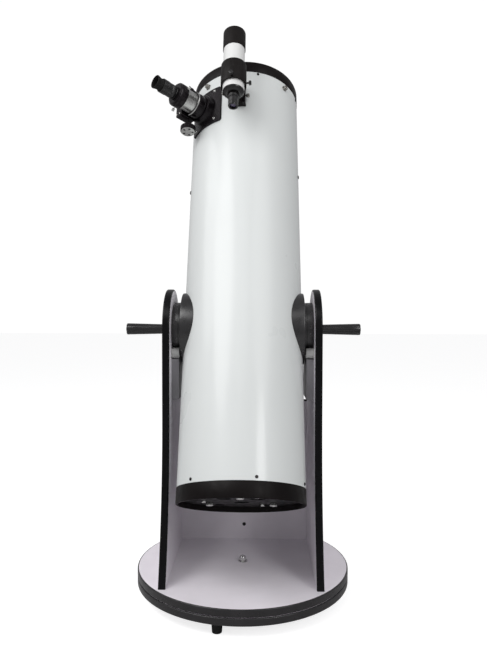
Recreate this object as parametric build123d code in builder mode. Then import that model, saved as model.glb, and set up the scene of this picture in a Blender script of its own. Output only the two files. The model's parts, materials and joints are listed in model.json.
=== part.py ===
from build123d import *
from math import asin, atan2, cos, degrees, radians, sin, sqrt
import os

# A ten-inch Newtonian reflector on a two-axis wooden rocker base.
# Frame: +Z up, origin on the azimuth axis at the floor, altitude axis along X,
# and the lower end of the tube towards -Y. The tube rests tilted back.

os.makedirs("parts", exist_ok=True)

# ---------------------------------------------------------------- driving dimensions, mm
base_radius = 270
board = 18  # thickness of every board
band = 3  # black edging round the two round boards
foot_height = 30
foot_circle = 240
foot_start = 257.5  # polar angle of the first foot
glide_gap = 2
bolt_radius = 6
inner_half = 177  # half the clear width between the side boards
altitude_above_top = 604  # altitude axis above the turntable's top face
head_radius = 102  # round head of a side board
side_band = 4
front_straight = 390  # height at which the front edge starts to flare
front_foot = 176  # how far forward the side board reaches at its foot
rear_edge = 175
rear_straight = 380
back_panel_height = 399
tilt = 23.7  # of the tube from the vertical, at rest
tube_radius = 151
tube_wall = 1.5
top_end = 743  # ends of the tube along its axis, from the altitude axis
bottom_end = -441
top_ring_height = 35
bottom_ring_height = 37
ring_proud = 0.8  # how far the end rings stand out of the tube
lip = 3
disc_radius = 68
peg_radius = 12.7
peg_circle = 81
saddle_radius = 92
saddle_face = 154
handle_end = 300
running = 0.05  # radial clearance of a running fit
primary_radius = 127
secondary_radius = 31.5
focuser_along = 610
focuser_azimuth = -46.5  # from the front of the tube, positive to the right
drawtube_radius = 28
housing_radius = 33
housing_end = 199  # this and drawtube_end are distances from the tube's axis
drawtube_end = 232
finder_azimuth = -6.65
finder_radius = 230  # of the finder's axis from the tube's axis
finder_tube_radius = 28.3
finder_pivot_along = 645
adjuster_along = 592

# ---------------------------------------------------------------- worked-out places
ground_top = foot_height + board
turntable_bottom = ground_top + glide_gap
turntable_top = turntable_bottom + board
altitude_height = turntable_top + altitude_above_top
outer_face = inner_half + board
centre = Vector(0, 0, altitude_height)
tube_up = Vector(0, sin(radians(tilt)), cos(radians(tilt)))
tube_front = Vector(0, -cos(radians(tilt)), sin(radians(tilt)))
tube_axis = Axis(centre, tube_up)
tube_section = Plane(origin=centre, x_dir=(1, 0, 0), z_dir=tube_front)  # radius, along
shell_bottom = bottom_end + lip
shell_top = top_end - lip
shell_inside = tube_radius - tube_wall


def across_tube(along):
    """Plane square to the tube, its -Y towards the tube's front."""
    return Plane(origin=centre + tube_up * along, x_dir=(1, 0, 0), z_dir=tube_up)


def outward(azimuth):
    """Direction square out of the tube, at an angle from the tube's front."""
    angle = radians(azimuth)
    return Vector(sin(angle), 0, 0) + tube_front * cos(angle)


def off_tube(along, azimuth, radius):
    """Plane facing out of the tube: local X runs up the tube, local Y to the left."""
    out = outward(azimuth)
    return Plane(origin=centre + tube_up * along + out * radius, x_dir=tube_up, z_dir=out)


def save(piece, name):
    """Labels a finished piece and writes it as its own STEP file."""
    piece.part.label = name
    export_step(piece.part, f"parts/{name}.step")


def cut_tube_outside():
    """Removes the tube's own space from the part under way."""
    with BuildSketch(across_tube(shell_bottom)) as disc:
        Circle(tube_radius)
    extrude(disc.sketch, amount=shell_top - shell_bottom, mode=Mode.SUBTRACT)


# ---------------------------------------------------------------- ground body
foot_bottom_radius = 11.5
foot_taper = -degrees(atan2(2, foot_height))
foot_screw_radius = 2.5
foot_screw_depth = 14
foot_recess = 12  # depth of the recess that takes the screw's head
screw_head = 3

with BuildPart() as ground_board:
    with BuildSketch(Plane.XY.offset(foot_height)):
        Circle(base_radius - band)
        Circle(bolt_radius + 2 * running, mode=Mode.SUBTRACT)
    extrude(amount=board)
    with BuildSketch(Plane.XY.offset(foot_height)):
        with PolarLocations(foot_circle, 3, foot_start):
            Circle(foot_screw_radius)
    extrude(amount=foot_screw_depth, mode=Mode.SUBTRACT)
save(ground_board, "ground_board")


def add_edge_ring(height):
    """Rounded edging round a round board that starts at this height."""
    with BuildSketch(Plane.XY.offset(height)) as whole:
        Circle(base_radius)
    extrude(whole.sketch, amount=board)
    fillet(edges().filter_by(GeomType.CIRCLE), radius=band - 0.5)
    with BuildSketch(Plane.XY.offset(height)) as inside:
        Circle(base_radius - band)
    extrude(inside.sketch, amount=board, mode=Mode.SUBTRACT)


with BuildPart() as ground_board_edge:
    add_edge_ring(foot_height)
save(ground_board_edge, "ground_board_edge")

with BuildPart() as rubber_feet:
    with BuildSketch():
        with PolarLocations(foot_circle, 3, foot_start):
            Circle(foot_bottom_radius)
    extrude(amount=foot_height, taper=foot_taper)
    fillet(edges().filter_by(GeomType.CIRCLE).group_by(Axis.Z)[0], radius=2)
    with BuildSketch():
        with PolarLocations(foot_circle, 3, foot_start):
            Circle(5.2)
    extrude(amount=foot_recess, mode=Mode.SUBTRACT)
    with BuildSketch():
        with PolarLocations(foot_circle, 3, foot_start):
            Circle(foot_screw_radius)
    extrude(amount=foot_height, mode=Mode.SUBTRACT)
save(rubber_feet, "rubber_feet")

with BuildPart() as foot_screws:
    with BuildSketch(Plane.XY.offset(foot_recess - screw_head)):
        with PolarLocations(foot_circle, 3, foot_start):
            Circle(4.8)
    extrude(amount=screw_head)
    with BuildSketch(Plane.XY.offset(foot_recess)):
        with PolarLocations(foot_circle, 3, foot_start):
            Circle(foot_screw_radius)
    extrude(amount=foot_height + foot_screw_depth - foot_recess)
save(foot_screws, "foot_screws")

with BuildPart() as glide_pads:
    with BuildSketch(Plane.XY.offset(ground_top)):
        with PolarLocations(foot_circle - 15, 3, foot_start):
            RectangleRounded(22, 40, 3)
    extrude(amount=glide_gap)
save(glide_pads, "glide_pads")

bolt_head = 8
hexagon_radius = 11
nut_flange = 2
nut_height = 9
with BuildPart() as azimuth_bolt:
    with BuildSketch(Plane.XY.offset(foot_height - bolt_head)):
        RegularPolygon(radius=hexagon_radius, side_count=6)
    extrude(amount=bolt_head)
    with BuildSketch(Plane.XY.offset(foot_height)):
        Circle(bolt_radius)
    extrude(amount=turntable_top + nut_flange + nut_height - foot_height)
save(azimuth_bolt, "azimuth_bolt")

with BuildPart() as azimuth_nut:
    with BuildSketch(Plane.XY.offset(turntable_top)):
        Circle(13)
    extrude(amount=nut_flange)
    with BuildSketch(Plane.XY.offset(turntable_top + nut_flange)):
        RegularPolygon(radius=hexagon_radius, side_count=6)
    extrude(amount=nut_height)
    with BuildSketch(Plane.XY.offset(turntable_top + nut_flange + nut_height)):
        Circle(8.5)
    extrude(amount=4.5)
    fillet(edges().filter_by(GeomType.CIRCLE).group_by(Axis.Z)[-1], radius=4)
    with BuildSketch(Plane.XY.offset(turntable_top)):
        Circle(bolt_radius)
    extrude(amount=nut_flange + nut_height, mode=Mode.SUBTRACT)
save(azimuth_nut, "azimuth_nut")

# ---------------------------------------------------------------- rocker body
bush_radius = 9

with BuildPart() as turntable_board:
    with BuildSketch(Plane.XY.offset(turntable_bottom)):
        Circle(base_radius - band)
        Circle(bush_radius, mode=Mode.SUBTRACT)
    extrude(amount=board)
save(turntable_board, "turntable_board")

with BuildPart() as azimuth_bush:
    with BuildSketch(Plane.XY.offset(turntable_bottom)):
        Circle(bush_radius)
        Circle(bolt_radius + running, mode=Mode.SUBTRACT)
    extrude(amount=board)
save(azimuth_bush, "azimuth_bush")

# The front edge flares forward on one arc, and the rear edge runs into the round head
# on another, tangent to both.
flare_radius = (front_straight**2 + (front_foot - head_radius) ** 2) / (2 * (front_foot - head_radius))
rear_rise = altitude_above_top - rear_straight
rear_radius = (rear_edge**2 + rear_rise**2 - head_radius**2) / (2 * (rear_edge - head_radius))
rear_angle = degrees(atan2(rear_rise, rear_radius - rear_edge))


def draw_side_board(inset, drop=0):
    """Outline of a side board in Y and Z, its curved edge moved in by inset.

    The board stands on the turntable, or runs on below its top by drop."""
    flare_centre = (-head_radius - flare_radius, turntable_top + front_straight)
    flare = flare_radius + inset
    flare_angle = degrees(asin((front_straight + drop) / flare))
    rear_centre = (rear_edge - rear_radius, turntable_top + rear_straight)
    with BuildLine() as outline:
        front = CenterArc(flare_centre, flare, -flare_angle, flare_angle)
        rise = Line(front @ 1, (inset - head_radius, altitude_height))
        head = CenterArc((0, altitude_height), head_radius - inset, 180, rear_angle - 180)
        back = CenterArc(rear_centre, rear_radius - inset, rear_angle, -rear_angle)
        down = Line(back @ 1, (rear_edge - inset, turntable_top - drop))
        Line(down @ 1, front @ 0)
    make_face(outline.edges())


handle_hole_radius = 8


def add_side_board(side):
    """One side board, cut for the handle's stud; side is -1 on the left, 1 on the right."""
    face = inner_half if side > 0 else -outer_face
    with BuildSketch(Plane.YZ.offset(face)) as profile:
        draw_side_board(side_band)
        with Locations((0, altitude_height)):
            Circle(handle_hole_radius, mode=Mode.SUBTRACT)
    extrude(profile.sketch, amount=board)


with BuildPart() as left_side_board:
    add_side_board(-1)
save(left_side_board, "left_side_board")

with BuildPart() as right_side_board:
    add_side_board(1)
save(right_side_board, "right_side_board")

trim_height = 4
trim_gap = 0.1  # keeps the back panel's edging a strip of its own
trim_drop = 10  # the trim is rounded past its foot and then cut off level
toe_flat = 0.5  # and the sharp tip of its foot is blunted by this much
with BuildPart() as right_trim:
    with BuildSketch(Plane.YZ.offset(inner_half)):
        draw_side_board(0, trim_drop)
    extrude(amount=board)
    rim = faces().filter_by(Axis.X).edges().filter_by(lambda e: e.center().Z > turntable_top)
    fillet(rim, radius=side_band - 0.5)
    with BuildSketch(Plane.YZ.offset(inner_half)):
        draw_side_board(side_band, trim_drop)
    extrude(amount=board, mode=Mode.SUBTRACT)
    with BuildSketch(Plane.XY.offset(turntable_top)):
        Rectangle(2 * base_radius, 2 * base_radius)
    extrude(amount=-trim_drop, mode=Mode.SUBTRACT)
    with BuildSketch(Plane.XY.offset(turntable_top)):
        with Locations((0, toe_flat - front_foot)):
            Rectangle(2 * base_radius, front_foot, align=(Align.CENTER, Align.MAX))
    extrude(amount=front_straight, mode=Mode.SUBTRACT)

with BuildPart() as turntable_edge:
    add_edge_ring(turntable_bottom)

with BuildPart() as rocker_edging:
    add(turntable_edge.part)
    add(right_trim.part)
    mirror(right_trim.part, about=Plane.YZ)
    with BuildSketch(Plane.XY.offset(turntable_top + back_panel_height - trim_height)):
        with Locations((0, rear_edge - board / 2)):
            Rectangle(2 * (inner_half - trim_gap), board)
    extrude(amount=trim_height)
    top_edges = edges().filter_by(Axis.X).filter_by(lambda e: abs(e.center().X) < 1)
    fillet(top_edges.group_by(Axis.Z)[-1], radius=3)
save(rocker_edging, "rocker_edging")

with BuildPart() as back_panel:
    with BuildSketch(Plane.XY.offset(turntable_top)):
        with Locations((0, rear_edge - board / 2)):
            Rectangle(2 * inner_half, board)
    extrude(amount=back_panel_height - trim_height)
save(back_panel, "back_panel")

block_half = 58
block_low = 430
block_high = 532
with BuildPart() as support_blocks:
    with BuildSketch(Plane.XY.offset(turntable_top + block_low)):
        for side in (-1, 1):
            with Locations((side * (inner_half - board / 2), 0)):
                Rectangle(board, 2 * block_half)
    extrude(amount=block_high - block_low)
save(support_blocks, "support_blocks")

peg_length = 20
with BuildPart() as bearing_pegs:
    for face in (-inner_half, inner_half - peg_length):
        with BuildSketch(Plane.YZ.offset(face)):
            for angle in (225, 315):
                with Locations(
                    (
                        peg_circle * cos(radians(angle)),
                        altitude_height + peg_circle * sin(radians(angle)),
                    )
                ):
                    Circle(peg_radius)
        extrude(amount=peg_length)
save(bearing_pegs, "bearing_pegs")

screw_cap_radius = 5
panel_screw_radius = 3.2
panel_screw_length = 50
front_cap_height = 43
with BuildPart() as panel_screws:
    for side in (-1, 1):
        for height in (60, 200, 340):
            base = Plane(
                origin=(side * outer_face, rear_edge - board / 2, turntable_top + height),
                x_dir=(0, 1, 0),
                z_dir=(side, 0, 0),
            )
            with BuildSketch(base):
                Circle(screw_cap_radius)
            extrude(amount=1)
            with BuildSketch(base):
                Circle(panel_screw_radius)
            extrude(amount=-panel_screw_length)
    front_cap = Plane(
        origin=(0, rear_edge - board, turntable_top + front_cap_height), x_dir=(1, 0, 0), z_dir=(0, -1, 0)
    )
    with BuildSketch(front_cap):
        Circle(screw_cap_radius)
    extrude(amount=2)
    with BuildSketch(front_cap):
        Circle(panel_screw_radius)
    extrude(amount=-board + 4)
save(panel_screws, "panel_screws")

# ---------------------------------------------------------------- tube body
with BuildPart() as tube_shell:
    with BuildSketch(across_tube(shell_bottom)):
        Circle(tube_radius)
        Circle(shell_inside, mode=Mode.SUBTRACT)
    extrude(amount=shell_top - shell_bottom)
    with BuildSketch(off_tube(focuser_along, focuser_azimuth, tube_radius - 40)):
        Circle(drawtube_radius + 2)
    extrude(amount=60, mode=Mode.SUBTRACT)
save(tube_shell, "tube_shell")

sleeve_inside = 146.5
ring_outside = tube_radius + ring_proud


def add_end_ring(end, direction, height, sleeve_height):
    """End ring that wraps the tube's end, with a sleeve down its inside."""
    with BuildSketch(tube_section) as profile:
        with BuildLine():
            Polyline(
                (sleeve_inside, end),
                (ring_outside, end),
                (ring_outside, end - direction * height),
                (tube_radius, end - direction * height),
                (tube_radius, end - direction * lip),
                (shell_inside, end - direction * lip),
                (shell_inside, end - direction * sleeve_height),
                (sleeve_inside, end - direction * sleeve_height),
                close=True,
            )
        make_face()
    revolve(profile.sketch, axis=tube_axis)
    rim = edges().filter_by(GeomType.CIRCLE).filter_by(lambda e: e.radius > tube_radius + 0.5)
    end_point = centre + tube_up * end
    fillet(rim.filter_by(lambda e: (e.arc_center - end_point).length < 1), radius=1.2)


with BuildPart() as top_ring:
    add_end_ring(top_end, 1, top_ring_height, top_ring_height + 10)
save(top_ring, "top_ring")

with BuildPart() as bottom_ring:
    add_end_ring(bottom_end, -1, bottom_ring_height, bottom_ring_height + 12)
save(bottom_ring, "bottom_ring")

ring_screw_start = 14
ring_screw_alongs = (top_end - 41, bottom_end + 45)
ring_screw_radius = 2
with BuildPart() as ring_screws:
    for along in ring_screw_alongs:
        for step in range(6):
            azimuth = ring_screw_start + 60 * step
            with BuildSketch(off_tube(along, azimuth, sleeve_inside)):
                Circle(ring_screw_radius)
            extrude(amount=tube_radius + 0.5 - sleeve_inside)
            with BuildSketch(off_tube(along, azimuth, tube_radius)):
                Circle(3.6)
            extrude(amount=2.6)
    for azimuth, along in ((-80, 396), (80, 446)):  # a button on each flank of the tube
        with BuildSketch(off_tube(along, azimuth, shell_inside)):
            Circle(ring_screw_radius)
        extrude(amount=tube_wall)
        with BuildSketch(off_tube(along, azimuth, tube_radius)):
            Circle(5)
        extrude(amount=2.6)
save(ring_screws, "ring_screws")

stud_radius = 6
stud_hole_radius = stud_radius + running
saddle_start = 112  # inside the tube, where it is cut away

with BuildPart() as bearing_saddles:
    for side in (-1, 1):
        start = saddle_start if side > 0 else -saddle_face
        with BuildSketch(Plane.YZ.offset(start)):
            with Locations((0, altitude_height)):
                Circle(saddle_radius)
                Circle(stud_hole_radius, mode=Mode.SUBTRACT)
        extrude(amount=saddle_face - saddle_start)
    rims = edges().filter_by(GeomType.CIRCLE).filter_by(lambda e: e.radius > saddle_radius - 1)
    fillet(rims.filter_by(lambda e: abs(abs(e.center().X) - saddle_face) < 1), radius=2.5)
    cut_tube_outside()
save(bearing_saddles, "bearing_saddles")

disc_face = inner_half - 0.5
with BuildPart() as bearing_discs:
    for start in (-disc_face, saddle_face):
        with BuildSketch(Plane.YZ.offset(start)):
            with Locations((0, altitude_height)):
                Circle(disc_radius)
                Circle(stud_hole_radius, mode=Mode.SUBTRACT)
        extrude(amount=disc_face - saddle_face)
    rims = edges().filter_by(GeomType.CIRCLE).filter_by(lambda e: e.radius > disc_radius - 1)
    fillet(rims.filter_by(lambda e: abs(e.center().X) > saddle_face + 1), radius=1.5)
save(bearing_discs, "bearing_discs")

spider_low = 680
spider_high = 696
spider_azimuth = 47
hub_radius = 21
vane = 1.4
spider_wall = shell_inside - 0.2  # how far out the spider reaches
spider_bolt_radius = 2.5
spider_bolt_depth = 4
spider_washer = 1.5
with BuildPart() as spider:
    with BuildSketch(across_tube(spider_low)):
        Circle(hub_radius)
        with PolarLocations(0, 4, spider_azimuth - 90):
            with Locations((spider_wall / 2, 0)):
                Rectangle(spider_wall, vane)
        with PolarLocations(spider_wall - 3, 4, spider_azimuth - 90):
            Rectangle(5, 12)
    extrude(amount=spider_high - spider_low)
save(spider, "spider")

spider_bolt_along = (spider_low + spider_high) / 2 + 2
with BuildPart() as spider_bolts:
    for step in range(4):
        azimuth = spider_azimuth + 90 * step
        with BuildSketch(off_tube(spider_bolt_along, azimuth, spider_wall - spider_bolt_depth)):
            Circle(spider_bolt_radius)
        extrude(amount=tube_radius + 1 - spider_wall + spider_bolt_depth)
        with BuildSketch(off_tube(spider_bolt_along, azimuth, tube_radius)):
            Circle(8)
        extrude(amount=spider_washer)
        with BuildSketch(off_tube(spider_bolt_along, azimuth, tube_radius + spider_washer)):
            Circle(6.5)
        extrude(amount=7)
save(spider_bolts, "spider_bolts")

mirror_normal = (outward(focuser_azimuth) - tube_up).normalized()
secondary_thickness = 10
secondary_reach = 60  # half the length of the rod that both pieces are cut from
holder_top = 54  # from the focuser's axis to the top of the holder
secondary_face = Plane(
    origin=centre + tube_up * focuser_along, x_dir=outward(focuser_azimuth + 90), z_dir=-mirror_normal
)
with BuildPart() as secondary_mirror:
    with BuildSketch(across_tube(focuser_along - secondary_reach)):
        Circle(secondary_radius)
    extrude(amount=2 * secondary_reach)
    split(bisect_by=secondary_face, keep=Keep.TOP)
    split(bisect_by=secondary_face.offset(secondary_thickness), keep=Keep.BOTTOM)
save(secondary_mirror, "secondary_mirror")

with BuildPart() as secondary_holder:
    with BuildSketch(across_tube(focuser_along - secondary_reach)):
        Circle(secondary_radius - 2)
    extrude(amount=secondary_reach + holder_top)
    split(bisect_by=secondary_face.offset(secondary_thickness), keep=Keep.TOP)
    with BuildSketch(across_tube(focuser_along + holder_top)):
        Circle(5)
        with PolarLocations(14, 3):
            Circle(2)
    extrude(amount=spider_low - focuser_along - holder_top)
save(secondary_holder, "secondary_holder")

tray_low = -394
tray_high = -388
mirror_back = -386
mirror_thickness = 30
focal_length = 1250
mirror_sag = primary_radius**2 / (4 * focal_length)
with BuildPart() as primary_mirror:
    with BuildSketch(tube_section):
        with BuildLine():
            edge_top = mirror_back + mirror_thickness
            face_curve = ThreePointArc(
                (0, edge_top - mirror_sag),
                (primary_radius / 2, edge_top - mirror_sag * 3 / 4),
                (primary_radius, edge_top),
            )
            Polyline(face_curve @ 1, (primary_radius, mirror_back), (0, mirror_back), face_curve @ 0)
        make_face()
    revolve(axis=tube_axis)
save(primary_mirror, "primary_mirror")

cell_low = -428
cell_high = -421
knob_circle = 88
collimation_screw_radius = 3
screw_hole = collimation_screw_radius + running
inner_vent_circle = 45
inner_vent_radius = 18
with BuildPart() as mirror_tray:
    with BuildSketch(across_tube(tray_low)):
        Circle(primary_radius + 5)
        with PolarLocations(knob_circle, 3, 30):
            Circle(screw_hole, mode=Mode.SUBTRACT)
        with PolarLocations(inner_vent_circle, 3, 90):
            Circle(inner_vent_radius, mode=Mode.SUBTRACT)
    extrude(amount=tray_high - tray_low)
    with BuildSketch(across_tube(tray_high)):
        with PolarLocations(70, 3, 90):
            Circle(10)
    extrude(amount=mirror_back - tray_high)
save(mirror_tray, "mirror_tray")

clip_width = 22
clip_lip = 2
with BuildPart() as mirror_clips:
    with BuildSketch(across_tube(tray_high)):
        with PolarLocations(primary_radius + 2.5, 3, 90):
            Rectangle(4.9, clip_width)
    extrude(amount=mirror_back + mirror_thickness + clip_lip - tray_high)
    with BuildSketch(across_tube(mirror_back + mirror_thickness)):
        with PolarLocations(primary_radius - 2, 3, 90):
            Rectangle(8, clip_width)
    extrude(amount=clip_lip)
save(mirror_clips, "mirror_clips")

with BuildPart() as mirror_cell:
    with BuildSketch(across_tube(cell_low)):
        Circle(sleeve_inside)
        with PolarLocations(knob_circle, 3, 30):
            Circle(screw_hole, mode=Mode.SUBTRACT)
        with PolarLocations(115, 6, 0):
            Circle(16, mode=Mode.SUBTRACT)
        with PolarLocations(inner_vent_circle, 3, 90):
            Circle(inner_vent_radius, mode=Mode.SUBTRACT)
    extrude(amount=cell_high - cell_low)
save(mirror_cell, "mirror_cell")

spring_wire = 1.2
spring_radius = 6
with BuildPart() as collimation_springs:
    for step in range(3):
        place = across_tube(cell_high).location * Location(
            (knob_circle * cos(radians(30 + 120 * step)), knob_circle * sin(radians(30 + 120 * step)), 0)
        )
        with BuildSketch(Plane(place)):
            Circle(spring_radius + spring_wire / 2)
            Circle(spring_radius - spring_wire / 2, mode=Mode.SUBTRACT)
        extrude(amount=tray_low - cell_high)
save(collimation_springs, "collimation_springs")

lock_start = 55
lock_head = 6
with BuildPart() as mirror_lock_screws:
    with BuildSketch(across_tube(cell_low - lock_head)):
        with PolarLocations(knob_circle, 3, lock_start):
            Circle(5)
    extrude(amount=lock_head)
    with BuildSketch(across_tube(cell_low)):
        with PolarLocations(knob_circle, 3, lock_start):
            Circle(2.5)
    extrude(amount=tray_low - cell_low)
save(mirror_lock_screws, "mirror_lock_screws")

for step in range(3):
    with BuildPart() as collimation_knob:
        place = across_tube(cell_low).location * Location(
            (knob_circle * cos(radians(30 + 120 * step)), knob_circle * sin(radians(30 + 120 * step)), 0)
        )
        with BuildSketch(Plane(place)):
            Circle(9)
            with PolarLocations(9.6, 8):
                Circle(1.6, mode=Mode.SUBTRACT)
        extrude(amount=-9)
        with BuildSketch(Plane(place)):
            Circle(collimation_screw_radius)
        extrude(amount=tray_high - cell_low)
    save(collimation_knob, f"collimation_knob_{step + 1}")

# Focuser: local X runs up the tube, local Y to the left, and heights are tube radii.
base_half = 57
base_thickness = 5
base_start = 110  # inside the tube, where the base is cut away
flange_radius = 42
flange_start = 14  # how deep in the tube's surface the flange starts
flange_end = 172
bore_radius = drawtube_radius + running


def focuser_plane(radius):
    """Plane square to the focuser's axis, at a distance from the tube's axis."""
    return off_tube(focuser_along, focuser_azimuth, radius)


with BuildPart() as focuser_base:
    with BuildSketch(focuser_plane(base_start)):
        RectangleRounded(2 * base_half, 2 * base_half, 6)
    extrude(amount=70)
    with BuildSketch(across_tube(focuser_along - 100)):
        Circle(tube_radius + base_thickness)
    extrude(amount=200, mode=Mode.INTERSECT)
    with BuildSketch(focuser_plane(tube_radius - flange_start)):
        Circle(flange_radius)
    extrude(amount=flange_end - tube_radius + flange_start, taper=6)
    cut_tube_outside()
    with BuildSketch(focuser_plane(base_start)):
        Circle(bore_radius)
    extrude(amount=80, mode=Mode.SUBTRACT)
save(focuser_base, "focuser_base")

corner = 46
corner_azimuth = degrees(corner / tube_radius) * 0.82
with BuildPart() as focuser_screws:
    for up in (-corner, corner):
        for around in (-corner_azimuth, corner_azimuth):
            place = off_tube(focuser_along + up, focuser_azimuth + around, tube_radius)
            with BuildSketch(place):
                Circle(2)
            extrude(amount=base_thickness)
            with BuildSketch(place.offset(base_thickness)):
                Circle(4)
            extrude(amount=2.5)
save(focuser_screws, "focuser_screws")

shaft_offset = 34
shaft_height = 183
shaft_radius = 3
roller_radius = shaft_offset - drawtube_radius - 0.3
block_end = 216
block_half_length = 30
roller_half = 17
lock_height = 200
lock_hole_depth = 14
with BuildPart() as focuser_housing:
    with BuildSketch(focuser_plane(flange_end)):
        Circle(housing_radius)
    extrude(amount=housing_end - flange_end)
    with BuildSketch(focuser_plane(flange_end)):
        with Locations((0, shaft_offset + 1)):
            Rectangle(2 * block_half_length, 24)
    extrude(amount=block_end - flange_end)
    with BuildSketch(focuser_plane(flange_end)):
        Circle(bore_radius)
    extrude(amount=block_end - flange_end, mode=Mode.SUBTRACT)
    shaft_line = Plane(
        origin=focuser_plane(shaft_height).from_local_coords((-block_half_length, shaft_offset, 0)),
        x_dir=outward(focuser_azimuth),
        z_dir=tube_up,
    )
    with BuildSketch(shaft_line):
        Circle(shaft_radius + running)
    extrude(amount=2 * block_half_length, mode=Mode.SUBTRACT)
    with BuildSketch(shaft_line.offset(block_half_length - roller_half - 1)):
        Circle(roller_radius + 0.5)
    extrude(amount=2 * roller_half + 2, mode=Mode.SUBTRACT)
    lock_line = Plane(
        origin=focuser_plane(lock_height).from_local_coords((10, shaft_offset + 13, 0)),
        x_dir=tube_up,
        z_dir=-outward(focuser_azimuth + 90),
    )
    with BuildSketch(lock_line):
        Circle(2 + running)
    extrude(amount=-lock_hole_depth, mode=Mode.SUBTRACT)
save(focuser_housing, "focuser_housing")

knob_near = 49  # from the middle of the shaft to the near face of a knob
knob_far = 67
knob_radius = 21
fine_shaft_radius = 2
fine_hole_depth = 12
with BuildPart() as focus_knobs:
    with BuildSketch(shaft_line.offset(block_half_length - knob_far + 2)):
        Circle(shaft_radius)
    extrude(amount=2 * knob_far - 4)
    with BuildSketch(shaft_line.offset(block_half_length - roller_half)):
        Circle(roller_radius)
    extrude(amount=2 * roller_half)
    for start in (block_half_length - knob_far, block_half_length + knob_near):
        with BuildSketch(shaft_line.offset(start)):
            Circle(knob_radius)
        extrude(amount=knob_far - knob_near)
    with BuildSketch(shaft_line.offset(block_half_length - knob_far)):
        with PolarLocations(12.5, 5):
            Circle(3.2)
    extrude(amount=4, mode=Mode.SUBTRACT)
    with BuildSketch(shaft_line.offset(block_half_length + knob_far)):
        Circle(fine_shaft_radius + running)
    extrude(amount=-fine_hole_depth, mode=Mode.SUBTRACT)
save(focus_knobs, "focus_knobs")

with BuildPart() as fine_focus_knob:
    with BuildSketch(shaft_line.offset(block_half_length + knob_far - 10)):
        Circle(fine_shaft_radius)
    extrude(amount=11)
    with BuildSketch(shaft_line.offset(block_half_length + knob_far + 1)):
        Circle(12)
        with PolarLocations(12.8, 16):
            Circle(1.5, mode=Mode.SUBTRACT)
    extrude(amount=12)
save(fine_focus_knob, "fine_focus_knob")

with BuildPart() as focus_lock_screw:
    with BuildSketch(lock_line.offset(-8)):
        Circle(2)
    extrude(amount=11)
    with BuildSketch(lock_line.offset(3)):
        Circle(5)
    extrude(amount=8)
save(focus_lock_screw, "focus_lock_screw")

barrel_radius = 25.4  # two-inch eyepiece barrel
drawtube_start = 134
collar_end = 254
collar_radius = 32
with BuildPart() as drawtube:
    with BuildSketch(focuser_plane(drawtube_start)):
        Circle(drawtube_radius)
        Circle(barrel_radius + running, mode=Mode.SUBTRACT)
    extrude(amount=drawtube_end - drawtube_start)
save(drawtube, "drawtube")

thumb_angles = (-85, 130)
thumb_height = 239
thumb_radius = 1.6
with BuildPart() as drawtube_collar:
    with BuildSketch(focuser_plane(drawtube_end)):
        Circle(collar_radius)
    extrude(amount=collar_end - drawtube_end)
    fillet(edges().filter_by(GeomType.CIRCLE), radius=1.5)
    with BuildSketch(focuser_plane(drawtube_end)):
        Circle(barrel_radius + running)
    extrude(amount=collar_end - drawtube_end, mode=Mode.SUBTRACT)
    for angle in thumb_angles:
        direction = tube_up * cos(radians(angle)) - outward(focuser_azimuth + 90) * sin(radians(angle))
        line = Plane(
            origin=focuser_plane(thumb_height).origin + direction * barrel_radius,
            x_dir=outward(focuser_azimuth),
            z_dir=direction,
        )
        with BuildSketch(line):
            Circle(thumb_radius + running)
        extrude(amount=10, mode=Mode.SUBTRACT)
save(drawtube_collar, "drawtube_collar")

for number, angle in enumerate(thumb_angles, start=1):
    direction = tube_up * cos(radians(angle)) - outward(focuser_azimuth + 90) * sin(radians(angle))
    line = Plane(
        origin=focuser_plane(thumb_height).origin + direction * (barrel_radius + 0.6),
        x_dir=outward(focuser_azimuth),
        z_dir=direction,
    )
    with BuildPart() as collar_thumbscrew:
        with BuildSketch(line):
            Circle(thumb_radius)
        extrude(amount=10)
        with BuildSketch(line.offset(9.5)):
            Circle(4)
            with PolarLocations(4.4, 10):
                Circle(0.7, mode=Mode.SUBTRACT)
        extrude(amount=8)
    save(collar_thumbscrew, f"collar_thumbscrew_{number}")

adapter_start = 222
adapter_end = 257
adapter_radius = 29
eyepiece_barrel = 15.875  # one-and-a-quarter-inch eyepiece barrel
with BuildPart() as eyepiece_adapter:
    with BuildSketch(focuser_plane(adapter_start)):
        Circle(barrel_radius)
    extrude(amount=collar_end - adapter_start)
    with BuildSketch(focuser_plane(collar_end)):
        Circle(adapter_radius)
    extrude(amount=adapter_end - collar_end, taper=20)
    with BuildSketch(focuser_plane(adapter_start)):
        Circle(eyepiece_barrel + running)
    extrude(amount=adapter_end - adapter_start, mode=Mode.SUBTRACT)
save(eyepiece_adapter, "eyepiece_adapter")

eyepiece_start = 228
eyepiece_radius = 18
eyepiece_ring = 284
cup_start = 302
cup_end = 322
cup_radius = 18.2
cup_inside = 14
with BuildPart() as eyepiece_body:
    with BuildSketch(focuser_plane(eyepiece_start)):
        Circle(eyepiece_barrel)
    extrude(amount=adapter_end - eyepiece_start)
    with BuildSketch(focuser_plane(adapter_end)):
        Circle(eyepiece_radius)
    extrude(amount=eyepiece_ring - adapter_end)
    with BuildSketch(focuser_plane(eyepiece_ring)):
        Circle(eyepiece_radius + 0.8)
    extrude(amount=cup_start - eyepiece_ring)
    with BuildSketch(focuser_plane(cup_start)):
        Circle(cup_inside)
    extrude(amount=6)
save(eyepiece_body, "eyepiece_body")

with BuildPart() as eyepiece_cup:
    with BuildSketch(focuser_plane(cup_start)):
        Circle(cup_radius)
        Circle(cup_inside, mode=Mode.SUBTRACT)
    extrude(amount=cup_end - cup_start)
    fillet(edges().filter_by(GeomType.CIRCLE).filter_by(lambda e: e.radius > cup_inside + 1), radius=1.5)
save(eyepiece_cup, "eyepiece_cup")

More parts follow.
